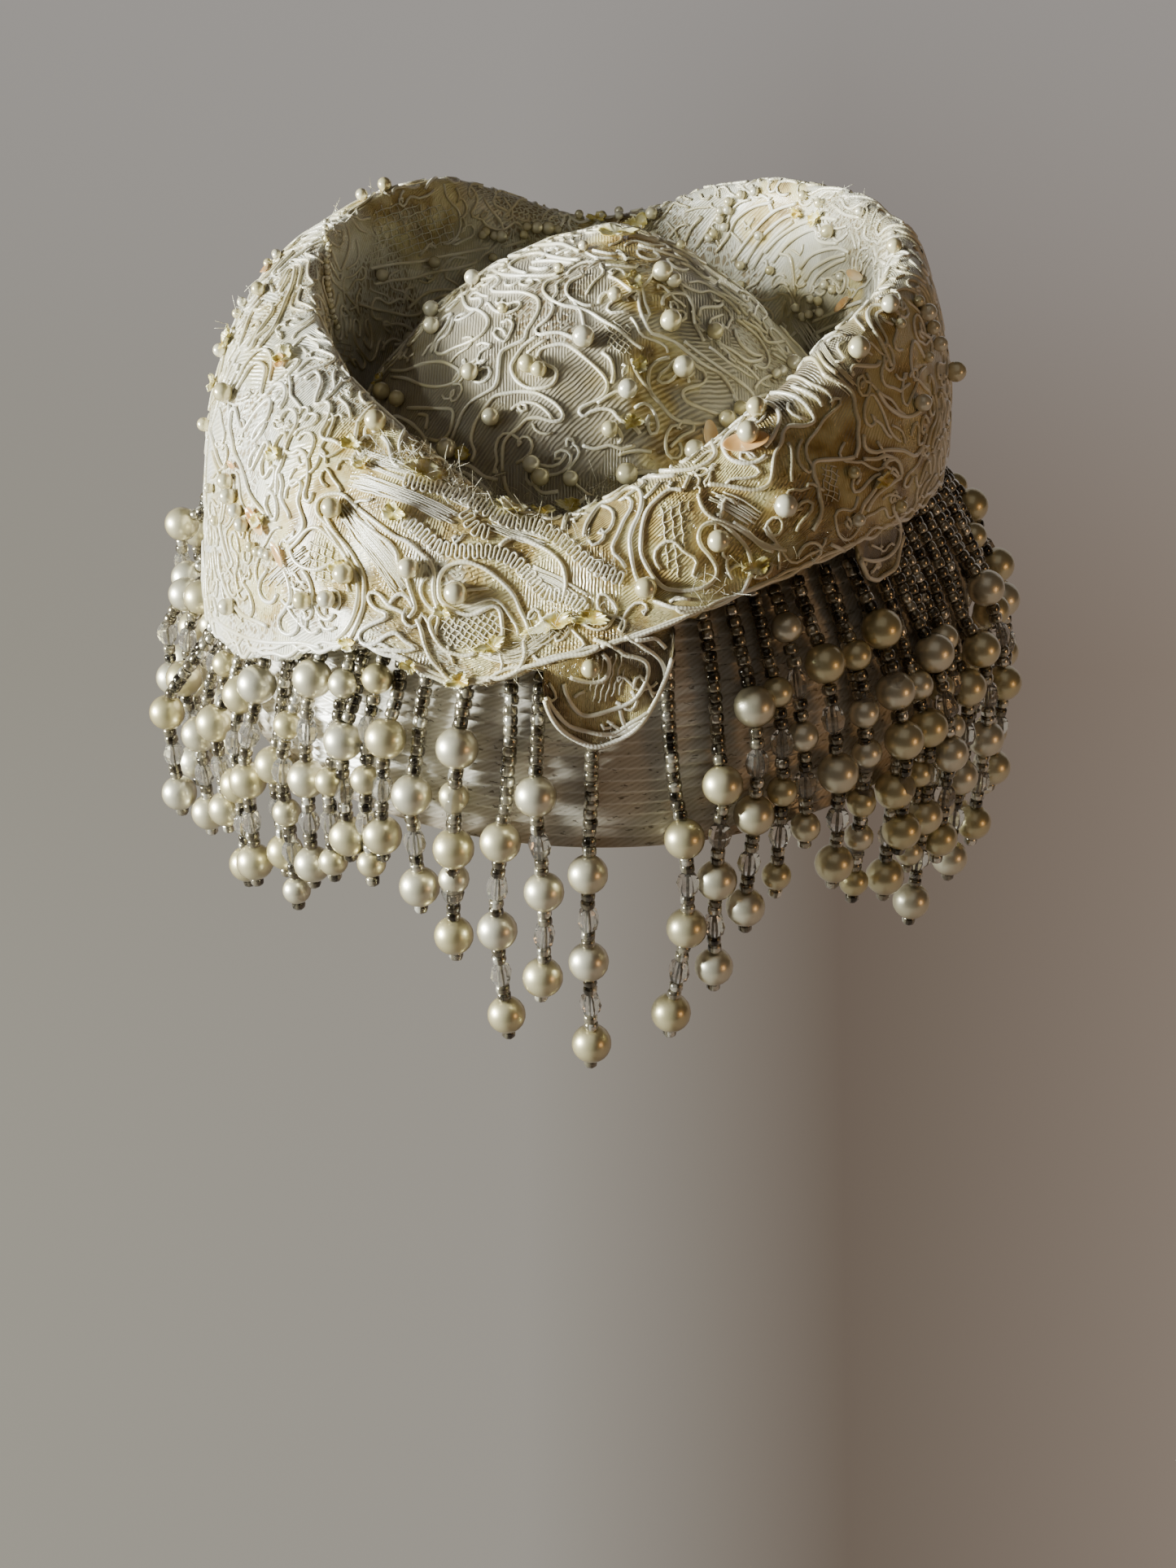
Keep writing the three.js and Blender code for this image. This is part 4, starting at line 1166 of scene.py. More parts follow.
# %% [markdown]
# ## Corded lace
#
# A thick soft cord is couched down over the organza in leaves, scrolls and loops. Those that
# show from the front are drawn point by point in the photograph's frame and pinned to the
# forms. A cord is a tube half sunk in the cloth, so that it catches the light along one side.

# %% Cords on the left and the front of the brim
LEFT_CORDS = [
    [(332, 402), (323, 410), (315, 418), (307, 430), (297, 431), (297, 422), (303, 405), (307, 392), (314, 379),
     (322, 370)],
    [(298, 430), (310, 428), (318, 410), (328, 396), (336, 384), (334, 374), (322, 381), (314, 382)],
    [(318, 428), (328, 416), (338, 402), (346, 386), (352, 370), (358, 356), (362, 340), (363, 330), (356, 332),
     (350, 342), (342, 352)],
    [(278, 420), (282, 406), (284, 394), (288, 384), (298, 368)],
    [(336, 338), (346, 326), (354, 318), (362, 310)],
    [(298, 350), (302, 340), (310, 328), (318, 318)],
    [(344, 360), (350, 350), (356, 338)],
    [(292, 478), (300, 465), (308, 452), (317, 446), (325, 450), (327, 458), (324, 472), (322, 485), (325, 488),
     (332, 482),
     (340, 473), (348, 473), (352, 482), (350, 493), (344, 503)],
    [(345, 517), (350, 508), (358, 503), (365, 510), (365, 522), (360, 532), (355, 542), (352, 553), (355, 557),
     (363, 557),
     (368, 553), (377, 560), (380, 575), (379, 592), (375, 608), (378, 617), (383, 614), (385, 605)],
    [(283, 530), (285, 507), (290, 502), (294, 517), (298, 529), (303, 527), (310, 515), (320, 502), (332, 491),
     (334, 497),
     (330, 513), (323, 520), (315, 530), (311, 542), (313, 543), (322, 532), (328, 520)],
    [(318, 548), (310, 560), (307, 575), (310, 578), (315, 568), (322, 553), (328, 542), (332, 550), (332, 567),
     (332, 580)],
    [(327, 558), (322, 570), (323, 585), (327, 587), (333, 577), (338, 573), (339, 580), (337, 593), (332, 600),
     (328, 597)],
    [(337, 553), (340, 543), (348, 532), (353, 535), (352, 550), (347, 570), (342, 580), (341, 593), (341, 608)],
    [(330, 608), (327, 620), (332, 633), (337, 640), (341, 633), (340, 617), (335, 605), (330, 608)],
    [(345, 583), (348, 595), (346, 608), (348, 617), (355, 630), (357, 637)],
    [(352, 613), (354, 600), (363, 590), (370, 592), (371, 600), (367, 615), (370, 628), (374, 640), (373, 650),
     (365, 660), (355, 667)],
    [(357, 675), (367, 665), (378, 652), (388, 648), (397, 652), (407, 662), (420, 675), (428, 687)],
    [(442, 626), (430, 615), (422, 608), (408, 607), (395, 612), (390, 622), (392, 633), (400, 642), (412, 654),
     (422, 668), (432, 684)],
    [(283, 498), (283, 513), (284, 530), (287, 543), (290, 558), (297, 573), (302, 588), (307, 605), (315, 618),
     (323, 628), (332, 638)],
    [(262, 555), (265, 568), (270, 580), (273, 597), (275, 620), (272, 645), (276, 668), (282, 690)],
    [(262, 517), (260, 530), (265, 550), (270, 567), (275, 575), (280, 573)],
    [(375, 467), (387, 458), (393, 462), (395, 472), (390, 487), (388, 498), (395, 497), (403, 495), (407, 503),
     (402, 520),
     (395, 532), (398, 540), (410, 542), (420, 548)],
    [(340, 427), (347, 424), (355, 428), (360, 436)],
    [(400, 634), (412, 654), (430, 676), (442, 696), (448, 712), (448, 732), (446, 750), (438, 770), (428, 788),
     (412, 798)],
    [(400, 646), (412, 664), (422, 680), (434, 698), (440, 716), (440, 738), (434, 760), (424, 776), (412, 786)],
    [(442, 626), (458, 638), (476, 652), (488, 660), (502, 666), (516, 678), (528, 690), (534, 704), (533, 720),
     (534, 734),
     (538, 748), (534, 756), (528, 762), (529, 772), (536, 786), (546, 798), (560, 804), (576, 806), (586, 802)],
    [(436, 634), (448, 644), (466, 658), (480, 668), (488, 680), (490, 692), (498, 704), (504, 724), (510, 744),
     (509, 752), (502, 760)],
    [(500, 756), (488, 750), (480, 746), (474, 740), (468, 732), (460, 728), (454, 732), (456, 742), (464, 750),
     (474, 754),
     (475, 760), (466, 764), (452, 770), (443, 778), (444, 788), (452, 793), (464, 790), (474, 782), (484, 778),
     (490, 780),
     (498, 788), (512, 796)],
    [(480, 742), (486, 734), (494, 730), (502, 736), (508, 746)],
    [(420, 802), (436, 799), (460, 799), (480, 799), (502, 800), (514, 796)],
    [(512, 762), (518, 776), (522, 792), (530, 810), (542, 824), (556, 838), (572, 836), (590, 834), (610, 837),
     (626, 832),
     (640, 820), (646, 804), (644, 790), (650, 780), (648, 768), (640, 750), (632, 732), (620, 718), (604, 704),
     (590, 696),
     (574, 691), (558, 693), (546, 700), (540, 712), (540, 730), (544, 740), (556, 749), (570, 755), (584, 755),
     (598, 748),
     (608, 745), (615, 752), (617, 766), (618, 780), (615, 796), (602, 806)],
    [(614, 672), (624, 664), (640, 662), (660, 670), (680, 682), (692, 696), (696, 716), (694, 730)],
    [(440, 520), (450, 508), (460, 500), (470, 497)],
    [(482, 528), (482, 516), (488, 512), (498, 516), (508, 522), (520, 534), (526, 546), (534, 554), (544, 566),
     (552, 580), (558, 594)],
    [(470, 538), (476, 544), (480, 556), (484, 570), (494, 576)],
    [(568, 580), (580, 586), (592, 596), (602, 606), (604, 614)],
    [(560, 594), (568, 588), (576, 592)],
    [(440, 520), (437, 538), (432, 548)],
    [(330, 700), (322, 712), (320, 726), (326, 738), (336, 740), (342, 730)],
    [(270, 680), (272, 700), (278, 722), (288, 742), (300, 756), (318, 764), (330, 770)],
    [(296, 700), (300, 716), (308, 730), (312, 748), (308, 760)],
    [(350, 700), (356, 716), (358, 734), (352, 748), (344, 760), (346, 774), (356, 780), (366, 774), (368, 760)],
    [(372, 700), (380, 712), (384, 728), (380, 744), (372, 752), (374, 768), (384, 778), (394, 774)],
    [(388, 742), (394, 756), (404, 762), (412, 756)],
    [(262, 760), (280, 772), (300, 782), (322, 788), (346, 790), (372, 790), (396, 796)],
    [(357, 675), (364, 690), (376, 698), (392, 700), (408, 692), (420, 690)],
]
RIGHT_CORDS = [
    [(692, 652), (696, 636), (704, 624), (720, 612)],
    [(718, 660), (720, 648), (728, 634), (740, 620), (756, 614), (768, 604), (780, 600), (788, 606), (789, 620),
     (784, 636),
     (778, 648), (774, 664), (776, 684), (780, 704), (786, 718)],
    [(840, 603), (824, 603), (808, 614), (796, 628), (790, 646), (788, 664), (788, 680), (794, 694), (804, 710),
     (816, 722),
     (832, 726), (850, 726), (868, 722), (878, 712), (880, 698), (872, 684), (862, 672), (858, 660), (862, 648),
     (872, 643),
     (886, 644), (902, 656), (916, 672), (922, 688), (922, 704), (916, 720), (906, 736), (890, 744), (864, 747),
     (834, 748),
     (816, 744), (804, 738)],
    [(858, 608), (862, 622), (872, 634), (890, 642), (910, 652), (922, 660), (936, 672), (950, 678)],
    [(870, 596), (890, 597), (910, 600), (930, 602), (944, 596), (948, 586), (950, 570), (952, 558), (960, 544),
     (962, 532),
     (970, 524), (986, 524), (998, 520), (1000, 514), (996, 506), (988, 496), (976, 488), (960, 484), (944, 485),
     (932, 488), (924, 494)],
    [(848, 586), (840, 602)],
    [(780, 582), (800, 580), (820, 580), (840, 579), (856, 576), (872, 568), (880, 558), (876, 546), (880, 538),
     (890, 530),
     (900, 522), (908, 514), (920, 508)],
    [(788, 586), (812, 587), (832, 585)],
    [(930, 514), (910, 524), (896, 534), (889, 546), (892, 558), (900, 566), (916, 570), (930, 568), (942, 560)],
    [(924, 494), (936, 494), (948, 498), (956, 506), (958, 516), (954, 528), (948, 540), (940, 550)],
    [(640, 836), (664, 850), (676, 866), (688, 882), (700, 892), (720, 898), (740, 902), (756, 900), (772, 890),
     (792, 878),
     (808, 866), (816, 850), (818, 830), (814, 816), (804, 804), (792, 796), (780, 788), (768, 784)],
    [(730, 786), (746, 792), (760, 798), (768, 804), (784, 808), (794, 814), (796, 826), (792, 840), (784, 854),
     (772, 864),
     (750, 872), (730, 878), (716, 878), (704, 868), (696, 854), (692, 840)],
    [(740, 802), (748, 812), (748, 826), (740, 836), (728, 838), (714, 836), (700, 832)],
    [(748, 904), (764, 900), (774, 894), (788, 886), (804, 880), (816, 876)],
    [(762, 872), (766, 886), (772, 896)],
    [(780, 786), (790, 786), (804, 784), (812, 790), (818, 796)],
    [(830, 746), (836, 752), (846, 752), (860, 749), (870, 748)],
    [(1048, 562), (1038, 564), (1020, 565), (1002, 567), (998, 574), (1000, 586), (1004, 596), (1006, 610),
     (1009, 624), (1006, 638), (998, 652)],
    [(980, 452), (988, 444), (1000, 442), (1008, 452), (1014, 462), (1030, 470), (1042, 478), (1048, 488), (1050, 504),
     (1054, 518), (1053, 532), (1054, 548), (1050, 562)],
    [(1060, 564), (1076, 564), (1086, 560), (1098, 564), (1104, 570), (1106, 584), (1096, 592), (1080, 604),
     (1070, 616), (1064, 628)],
    [(1084, 574), (1090, 566), (1100, 564)],
    [(1080, 588), (1072, 604), (1060, 620), (1054, 636)],
    [(1020, 668), (1036, 676), (1050, 684), (1070, 689), (1086, 686), (1098, 676), (1104, 660), (1104, 644),
     (1098, 630), (1096, 620)],
    [(1060, 534), (1062, 550), (1074, 556), (1088, 553), (1108, 554), (1122, 560), (1130, 552), (1136, 534)],
    [(900, 642), (916, 652), (930, 664), (946, 672), (966, 676)],
    [(1084, 376), (1072, 378), (1066, 388), (1070, 402), (1080, 418), (1088, 436), (1094, 450)],
    [(1006, 434), (1014, 448), (1028, 460)],
    [(1048, 462), (1044, 456), (1048, 450), (1060, 450), (1076, 450), (1080, 444)],
    [(974, 476), (990, 482), (1004, 490), (1010, 500)],
    [(1024, 252), (1040, 264), (1058, 268)],
    [(1076, 304), (1080, 318), (1090, 325)],
    [(1076, 480), (1090, 500), (1110, 512), (1126, 508), (1136, 494)],
    [(940, 310), (960, 290), (985, 275), (1010, 268), (1030, 270)],
    [(950, 322), (968, 300), (990, 285), (1004, 282), (1004, 292), (1012, 298), (1030, 299)],
    [(960, 312), (972, 316), (976, 340), (978, 365)],
    [(984, 330), (996, 315), (1010, 308), (1030, 305), (1044, 310)],
    [(990, 345), (1000, 330), (1020, 318), (1040, 312)],
    [(996, 360), (1004, 340), (1024, 325), (1040, 318)],
    [(900, 320), (915, 300), (935, 275), (955, 258), (980, 250)],
    [(915, 325), (930, 300), (948, 280), (970, 265), (1000, 262)],
    [(925, 330), (938, 308), (955, 288), (975, 272)],
    [(880, 310), (895, 290), (905, 270), (925, 255), (950, 248)],
    [(855, 305), (868, 285), (880, 266), (896, 252)],
    [(840, 300), (850, 280), (862, 266)],
    [(1000, 395), (1012, 390), (1030, 382), (1044, 376), (1060, 370)],
    [(1002, 410), (1020, 402), (1038, 394), (1050, 384)],
]

# %% Cords on the crown and inside the brim
CROWN_CORDS = [
    [(600, 340), (610, 341), (614, 348), (604, 358), (620, 360), (640, 360), (654, 364), (662, 370), (662, 382),
     (656, 394),
     (648, 406), (644, 418), (628, 426), (616, 434), (613, 450), (612, 464), (608, 476), (596, 484), (580, 494),
     (570, 506),
     (564, 520), (556, 540)],
    [(580, 338), (592, 334), (606, 333), (616, 338), (632, 340), (650, 340), (670, 340), (686, 338)],
    [(648, 337), (636, 334), (626, 328), (636, 320), (650, 314), (664, 312), (676, 316), (700, 320), (714, 320)],
    [(654, 324), (666, 322), (686, 322), (706, 325)],
    [(652, 330), (664, 332), (676, 330)],
    [(620, 318), (632, 308), (650, 304), (670, 302), (690, 301), (702, 306), (712, 310)],
    [(616, 304), (630, 300), (644, 296)],
    [(690, 340), (672, 348), (668, 358), (676, 368), (692, 376), (708, 379), (724, 384), (740, 394), (760, 406),
     (778, 422), (790, 430)],
    [(718, 338), (700, 348), (696, 360), (702, 368), (718, 376), (730, 376)],
    [(678, 374), (680, 380), (674, 392), (660, 404), (662, 412), (676, 410), (690, 410), (708, 418)],
    [(660, 414), (644, 426), (634, 440), (628, 452), (634, 467), (648, 477), (664, 478), (678, 474), (684, 464),
     (682, 454),
     (670, 448), (662, 440), (666, 430), (680, 425), (694, 424), (708, 432), (724, 445), (738, 458), (746, 470),
     (745, 482),
     (738, 490), (726, 496), (714, 502), (712, 508), (718, 512), (726, 507), (740, 503), (752, 505), (760, 514),
     (768, 520),
     (780, 526), (786, 534)],
    [(740, 434), (750, 442), (754, 458), (752, 472)],
    [(742, 528), (743, 522), (749, 520), (757, 525), (762, 532), (764, 540), (760, 545)],
    [(748, 340), (760, 346), (770, 354), (778, 360)],
    [(736, 374), (738, 366), (746, 360), (756, 364)],
    [(814, 376), (814, 368), (824, 362), (838, 362), (846, 368), (851, 380), (852, 396), (860, 412), (864, 420)],
    [(784, 360), (786, 380), (792, 396), (800, 410), (812, 414), (830, 422), (850, 438), (866, 450), (884, 460),
     (896, 476), (906, 496)],
    [(840, 420), (860, 436), (880, 450), (900, 464), (918, 478), (926, 488)],
    [(822, 440), (808, 444), (798, 454), (796, 468), (800, 484), (812, 498), (820, 508), (830, 516), (844, 520),
     (860, 521), (876, 522)],
    [(840, 444), (854, 450), (864, 458), (866, 468), (858, 474), (844, 478), (838, 484), (842, 492), (852, 498),
     (866, 504), (880, 509), (896, 511)],
    [(858, 390), (860, 380), (872, 378), (884, 378), (886, 372), (876, 370), (872, 362)],
    [(880, 422), (900, 432), (916, 444), (932, 444), (936, 438), (924, 436), (908, 422), (902, 406)],
    [(910, 394), (930, 406), (940, 420), (952, 422), (968, 418), (978, 408)],
    [(956, 360), (970, 364), (974, 376), (968, 390)],
    [(922, 360), (932, 368), (946, 368), (958, 364)],
    [(926, 478), (934, 468), (948, 462), (960, 458)],
    [(776, 442), (780, 456), (788, 468), (798, 480)],
    [(734, 496), (750, 486), (760, 480)],
    [(580, 568), (584, 556), (580, 544), (582, 528), (588, 514), (598, 500), (608, 488), (624, 484), (640, 482),
     (660, 484),
     (676, 492), (686, 500), (692, 510), (688, 518), (676, 518), (662, 514), (648, 516), (638, 526), (628, 534),
     (620, 544),
     (618, 560), (618, 580)],
    [(568, 352), (570, 370), (576, 380), (588, 382), (598, 390), (600, 400), (592, 412), (580, 420), (560, 428),
     (544, 436), (536, 434)],
    [(500, 380), (510, 370), (524, 360), (540, 356), (560, 356)],
    [(440, 374), (460, 380), (480, 384), (498, 388), (514, 386), (530, 370), (548, 362), (560, 360)],
    [(536, 434), (540, 420), (552, 410), (558, 392)],
    [(480, 456), (498, 456), (520, 448), (540, 445), (556, 450), (566, 458), (560, 470), (540, 476), (520, 474),
     (500, 466), (482, 464)],
    [(502, 502), (520, 502), (540, 503), (556, 504), (557, 516), (552, 534), (540, 542), (528, 540)],
    [(524, 528), (526, 512), (516, 510)],
    [(564, 570), (580, 574), (596, 586), (612, 590)],
    [(620, 586), (622, 598), (628, 610), (636, 618)],
    [(654, 584), (658, 598), (668, 606), (686, 604)],
    [(460, 350), (480, 345), (505, 342), (530, 335), (560, 330), (585, 322)],
    [(455, 330), (480, 325), (510, 322), (540, 316), (570, 310), (600, 304)],
    [(470, 400), (490, 398), (505, 406), (500, 420), (484, 424)],
    [(716, 548), (732, 552), (750, 548), (764, 552), (780, 548)],
    [(760, 560), (772, 556), (788, 554), (800, 556)],
]

CORD = 0.88  # width of the couched cord


def couched(drawings, width, step=4.5, lift=0.28, sides=6):
    """Tubes along drawn lines, each pinned to the forms and lifted by a part of its width.
    A slow wave along it makes its thickness uneven, as a hand-drawn cord's is."""
    tubes = []
    for drawing in drawings:
        for line, out in pinned_lines(drawing, step):
            even = 1 + 0.08 * np.sin(np.arange(len(line)) * 0.9 + line[0, 0])
            tubes.append(tube_shape(line + out * lift * width, out, width / 2 * even, sides))
    return tubes


silk = new_material("couched_rayon_cord", "#efe9da", Roughness=0.3, Specular_IOR_Level=1.0, Coat_Weight=0.7,
                    Coat_Roughness=0.14)
silk_uv = add_node(silk, "UVMap").outputs["UV"]
silk_twist = add_node(silk, "Mapping", Vector=silk_uv, Scale=(1, 0.9, 1), Rotation=(0, 0, 0.9))
twist = add_node(silk, "TexWave", Scale=bands(0.5), Vector=silk_twist.outputs["Vector"])
silk_cloud = add_node(silk, "TexNoise", Scale=70.0, Detail=3.0, Vector=add_node(silk, "TexCoord").outputs["Object"])
silk_tone = add_node(silk, "ValToRGB", Fac=silk_cloud.outputs["Fac"],
                     ramp=[(0.3, "#d8cb9f"), (0.46, "#ede5ca"), (0.64, "#f9f5e8")])
join(silk, silk_tone.outputs["Color"], "Base Color")
silk_relief = add_node(silk, "Bump", Height=twist.outputs["Fac"], Strength=0.28, Distance=0.1 * MM)
join(silk, silk_relief.outputs["Normal"], "Normal")

new_piece("brim_cords_left", couched(LEFT_CORDS, CORD), silk, "brim_lace")
new_piece("brim_cords_right", couched(RIGHT_CORDS, CORD), silk, "brim_lace")
new_piece("crown_cords", couched(CROWN_CORDS, CORD * 0.9), silk, "crown_lace")

# %% [markdown]
# ## Pearls and sequins on the lace
#
# Small round pearls are sewn on at the scrolls' centres, with clusters of tiny ones between.
# A pearl drawn just past the edge of the form still belongs to it, so its line of sight is
# moved towards the hat's middle until it meets the cloth.

# %% Lace pearls
LACE_PEARLS = np.array([
    # across, down, width in mm
    [413, 625, 4], [428, 707, 4], [407, 737, 3.6], [378, 737, 3.6], [505, 698, 4], [287, 745, 3.6], [464, 524, 4.2],
    [476, 486, 3.8], [494, 494, 3.4], [555, 555, 4.2], [564, 729, 4.4], [283, 485, 4], [583, 461, 3.6], [606, 516, 3.6],
    [285, 593, 3.4], [288, 611, 3.4], [296, 628, 3], [303, 645, 3], [880, 666, 4.2], [795, 724, 4.2], [769, 585, 4.4],
    [850, 556, 4.2], [963, 622, 4.4], [277, 433, 3], [254, 523, 3], [656, 573, 3.6], [666, 588, 3.6], [702, 590, 3.2],
    [652, 452, 3.8], [665, 458, 3.2], [750, 530, 3.4], [718, 420, 4.4], [574, 341, 3.4], [585, 348, 3.4],
    [836, 456, 4.4],
    [820, 401, 4.4], [810, 342, 4.2], [824, 350, 3.2], [770, 482, 4], [756, 367, 3], [536, 386, 3.6], [536, 406, 3.6],
    [498, 416, 3.6], [530, 322, 2.8], [464, 338, 3], [874, 412, 3.4], [922, 537, 4.2], [933, 508, 3.8], [888, 518, 3.6],
    [906, 504, 3], [1091, 382, 3.6], [1050, 433, 4.2], [970, 450, 3.2], [1126, 496, 3.4], [1102, 309, 3.2],
    [1132, 386, 3.4], [1140, 404, 2.8], [1148, 424, 3], [1164, 458, 4.2], [1022, 284, 3], [322, 360, 3],
    [468, 226, 3.2],
    [435, 232, 2.8], [725, 818, 3.6], [1045, 581, 2.4], [1049, 638, 2.6], [1101, 620, 2.6], [672, 280, 3.2],
    [658, 279, 3],
    [614, 290, 3], [802, 264, 3],
])
TINY_PEARLS = np.array([
    [313, 672], [321, 678], [328, 680], [335, 683], [620, 383], [604, 316], [591, 288], [595, 284], [605, 289],
    [642, 288],
    [646, 278], [684, 282], [711, 258], [741, 267], [763, 258], [762, 268], [689, 334], [718, 307], [803, 288],
    [912, 326],
    [949, 332], [935, 289], [913, 240], [897, 248], [896, 258], [887, 259], [886, 269], [892, 279], [878, 287],
    [873, 292],
    [912, 350], [834, 306], [950, 462], [958, 459], [990, 241], [1017, 350], [1027, 356], [1037, 340], [1000, 368],
    [1009, 370], [981, 378], [990, 389], [998, 386], [1011, 384], [1102, 400], [333, 310], [342, 316], [316, 318],
    [285, 368], [281, 383], [1136, 440], [1124, 372], [930, 236], [1010, 250], [1060, 262], [270, 640], [262, 600],
])
SEED_ROW = [(402, 276), (400, 294), (402, 304), (398, 322), (399, 334), (399, 350), (402, 366), (404, 380),
            (408, 394), (411, 402)]


HAT_MIDDLE = np.array([700.0, 520.0])  # in the photograph's frame
MOVE, MOST_MOVES = 2, 20


def pin_near(pixels):
    """Where lines of sight meet the forms; one that misses is moved step by step towards the
    hat's middle until it meets them. A point that never does stays not a number."""
    pixels = np.array(pixels, float)
    points, out = pin(pixels)
    for _ in range(MOST_MOVES):
        missing = ~np.isfinite(points[:, 0])
        if not missing.any():
            break
        pixels[missing] += MOVE * unit(HAT_MIDDLE - pixels[missing])
        points[missing], out[missing] = pin(pixels[missing])
    return points, out


STAND_OFF = 0.42  # of a sewn pearl's width


def sewn_on(pixels, widths, seed, sides=14, rings=9):
    """Balls sewn to the cloth at frame points, each standing off it by a bit less than half."""
    points, out = pin_near(pixels)
    widths = np.broadcast_to(np.asarray(widths, float), (len(points),))
    centres = points + out * widths[:, None] * STAND_OFF
    tint = np.random.default_rng(seed).uniform(0, 1, len(points))
    along = unit(np.cross(out, [0.3, 0.5, 0.8]))
    return copies(ball(1, sides, rings), centres, frames_along(along, out), widths, tint=tint)


# The same lacquer, whiter and less like metal, for the small pearls sewn on the lace.
white_nacre = nacre.copy()
white_nacre.name = "white_pearl_lacquer"
for node in white_nacre.node_tree.nodes:
    if node.type == "BSDF_PRINCIPLED":
        node.inputs["Metallic"].default_value = 0.25
        node.inputs["Roughness"].default_value = 0.25

seed_row = smooth_line(SEED_ROW, 6.5)
new_piece("lace_pearls", [sewn_on(LACE_PEARLS[:, :2], LACE_PEARLS[:, 2], 2, 18, 11)], white_nacre, "pearl")
new_piece("lace_tiny_pearls", [sewn_on(TINY_PEARLS, 2.2, 3), sewn_on(seed_row, 1.5, 4, 10, 7)], white_nacre,
          "small_pearl")

# %% Sequins: thin peach plastic, glossy
peach = new_material("peach_sequin", "#e2b070", Roughness=0.22, Coat_Weight=0.6, Coat_Roughness=0.05,
                     Subsurface_Weight=0.1)
peach_cloud = add_node(peach, "TexNoise", Scale=160.0, Detail=2.0, Vector=add_node(peach, "TexCoord").outputs["Object"])
peach_tone = add_node(peach, "ValToRGB", Fac=peach_cloud.outputs["Fac"],
                      ramp=[(0.35, "#c98f4e"), (0.5, "#e3b479"), (0.68, "#f0d3a6")])
join(peach, peach_tone.outputs["Color"], "Base Color")

SEQUINS = [
    # across, down, length mm, width mm, lean in degrees
    (318, 641, 7.5, 2.6, 58), (346, 682, 6.5, 1.8, 66), (290, 573, 4.5, 1.2, 46), (918, 546, 8.6, 4.0, -10),
    (870, 538, 6.6, 3.2, 84), (1056, 338, 7.5, 2.2, 22), (1040, 374, 10, 2, -42), (326, 332, 4, 2.6, -40),
    (346, 448, 4.4, 2.4, 90),
]


def sequin(across_px, down_px, length, width, lean):
    """A shallow oval dish on the cloth: rings of a smaller and smaller oval, sunk to the middle."""
    point, out = (found[0] for found in pin_near([(across_px, down_px)]))
    ahead = pin_near([(across_px + 3 * np.cos(np.radians(lean)), down_px + 3 * np.sin(np.radians(lean)))])[0][0]
    frame = frames_along((ahead - point)[None], out[None])[0]
    angle = np.linspace(0, 2 * np.pi, 25)
    reach = np.array([0, 0.35, 0.7, 0.94, 1.0, 0.94, 0.7, 0.35, 0])
    rise = np.array([0.35, 0.4, 0.6, 0.95, 0.95, 0.75, 0.4, 0.2, 0.15]) + 0.3
    along, round_to = np.meshgrid(reach, angle, indexing="ij")
    points = (point + frame[2] * (along * np.cos(round_to) * length / 2)[..., None]
              + frame[0] * (along * np.sin(round_to) * width / 2)[..., None] + frame[1] * rise[:, None, None])
    return grid_shape(points[:, ::-1], np.stack([along, round_to], axis=-1), closed=True)


new_piece("lace_sequins", [sequin(*row) for row in SEQUINS], peach, "sequin", weld=True)

# %% [markdown]
# ## Trimmings: ladders, frayed ribbons and nets
#
# Between the scrolls lie strips of ladder-edged braid, torn ribbons of organza whose threads
# have come loose, and patches of open net. All are threads drawn in the photograph's frame:
# a ladder is one thread going from side to side, a ribbon many threads side by side.

# %% Ladders, ribbons and nets
LADDERS = [
    [(560, 606), (590, 622), (622, 640), (640, 644), (660, 648), (680, 658), (700, 672), (720, 690), (740, 702),
     (764, 712)],
    [(500, 640), (520, 656), (540, 672), (570, 678), (600, 678), (630, 688), (650, 706), (670, 728), (690, 732),
     (706, 738), (720, 748)],
    [(498, 590), (520, 596), (540, 600), (558, 610)],
    [(572, 630), (584, 650), (600, 656)],
]
RIBBONS = [
    [(420, 620), (440, 650), (470, 690), (498, 731)], [(440, 640), (470, 675), (500, 715)],
    [(430, 590), (470, 600), (520, 620), (560, 640)], [(440, 560), (480, 575), (530, 592), (570, 610), (600, 628)],
    [(600, 640), (640, 655), (680, 668)], [(640, 700), (680, 716), (720, 740)],
    [(980, 390), (1000, 420), (1020, 450), (1050, 480)], [(590, 800), (630, 806), (660, 790), (690, 770)],
    [(872, 610), (900, 622), (930, 640)], [(330, 720), (350, 700), (380, 680)],
]
NETS = [
    # corners, spacing in px, the two directions in degrees
    ([(540, 752), (616, 752), (616, 784), (590, 800), (552, 796), (540, 770)], 7, (35, 125)),
    ([(378, 663), (410, 668), (420, 700), (404, 720), (380, 712)], 9, (20, 95)),
    ([(500, 530), (530, 536), (534, 562), (506, 560)], 6, (30, 120)),
    ([(740, 390), (776, 400), (776, 440), (746, 430)], 6, (40, 130)),
    ([(410, 420), (434, 424), (434, 450), (412, 448)], 7, (10, 100)),
    ([(1008, 570), (1030, 572), (1032, 616), (1010, 618)], 7, (25, 100)),
    ([(712, 806), (768, 800), (770, 850), (730, 868)], 7, (104, 104)),
    ([(806, 622), (850, 614), (838, 716), (812, 690)], 11, (84, 150)),
    ([(460, 250), (560, 250), (560, 300), (450, 330)], 9, (70, 160)),
]


def ladder_line(drawing, half, pitch):
    """One thread from side to side along a drawn line: right, on, left, on, as a square wave."""
    centre = smooth_line(drawing, pitch)
    along = unit(np.gradient(centre, axis=0))
    aside = np.stack([-along[:, 1], along[:, 0]], axis=1) * half
    swap = np.where(np.arange(len(centre)) % 2, 1.0, -1.0)[:, None]
    return np.stack([centre + aside * swap, centre - aside * swap], axis=1).reshape(-1, 2)


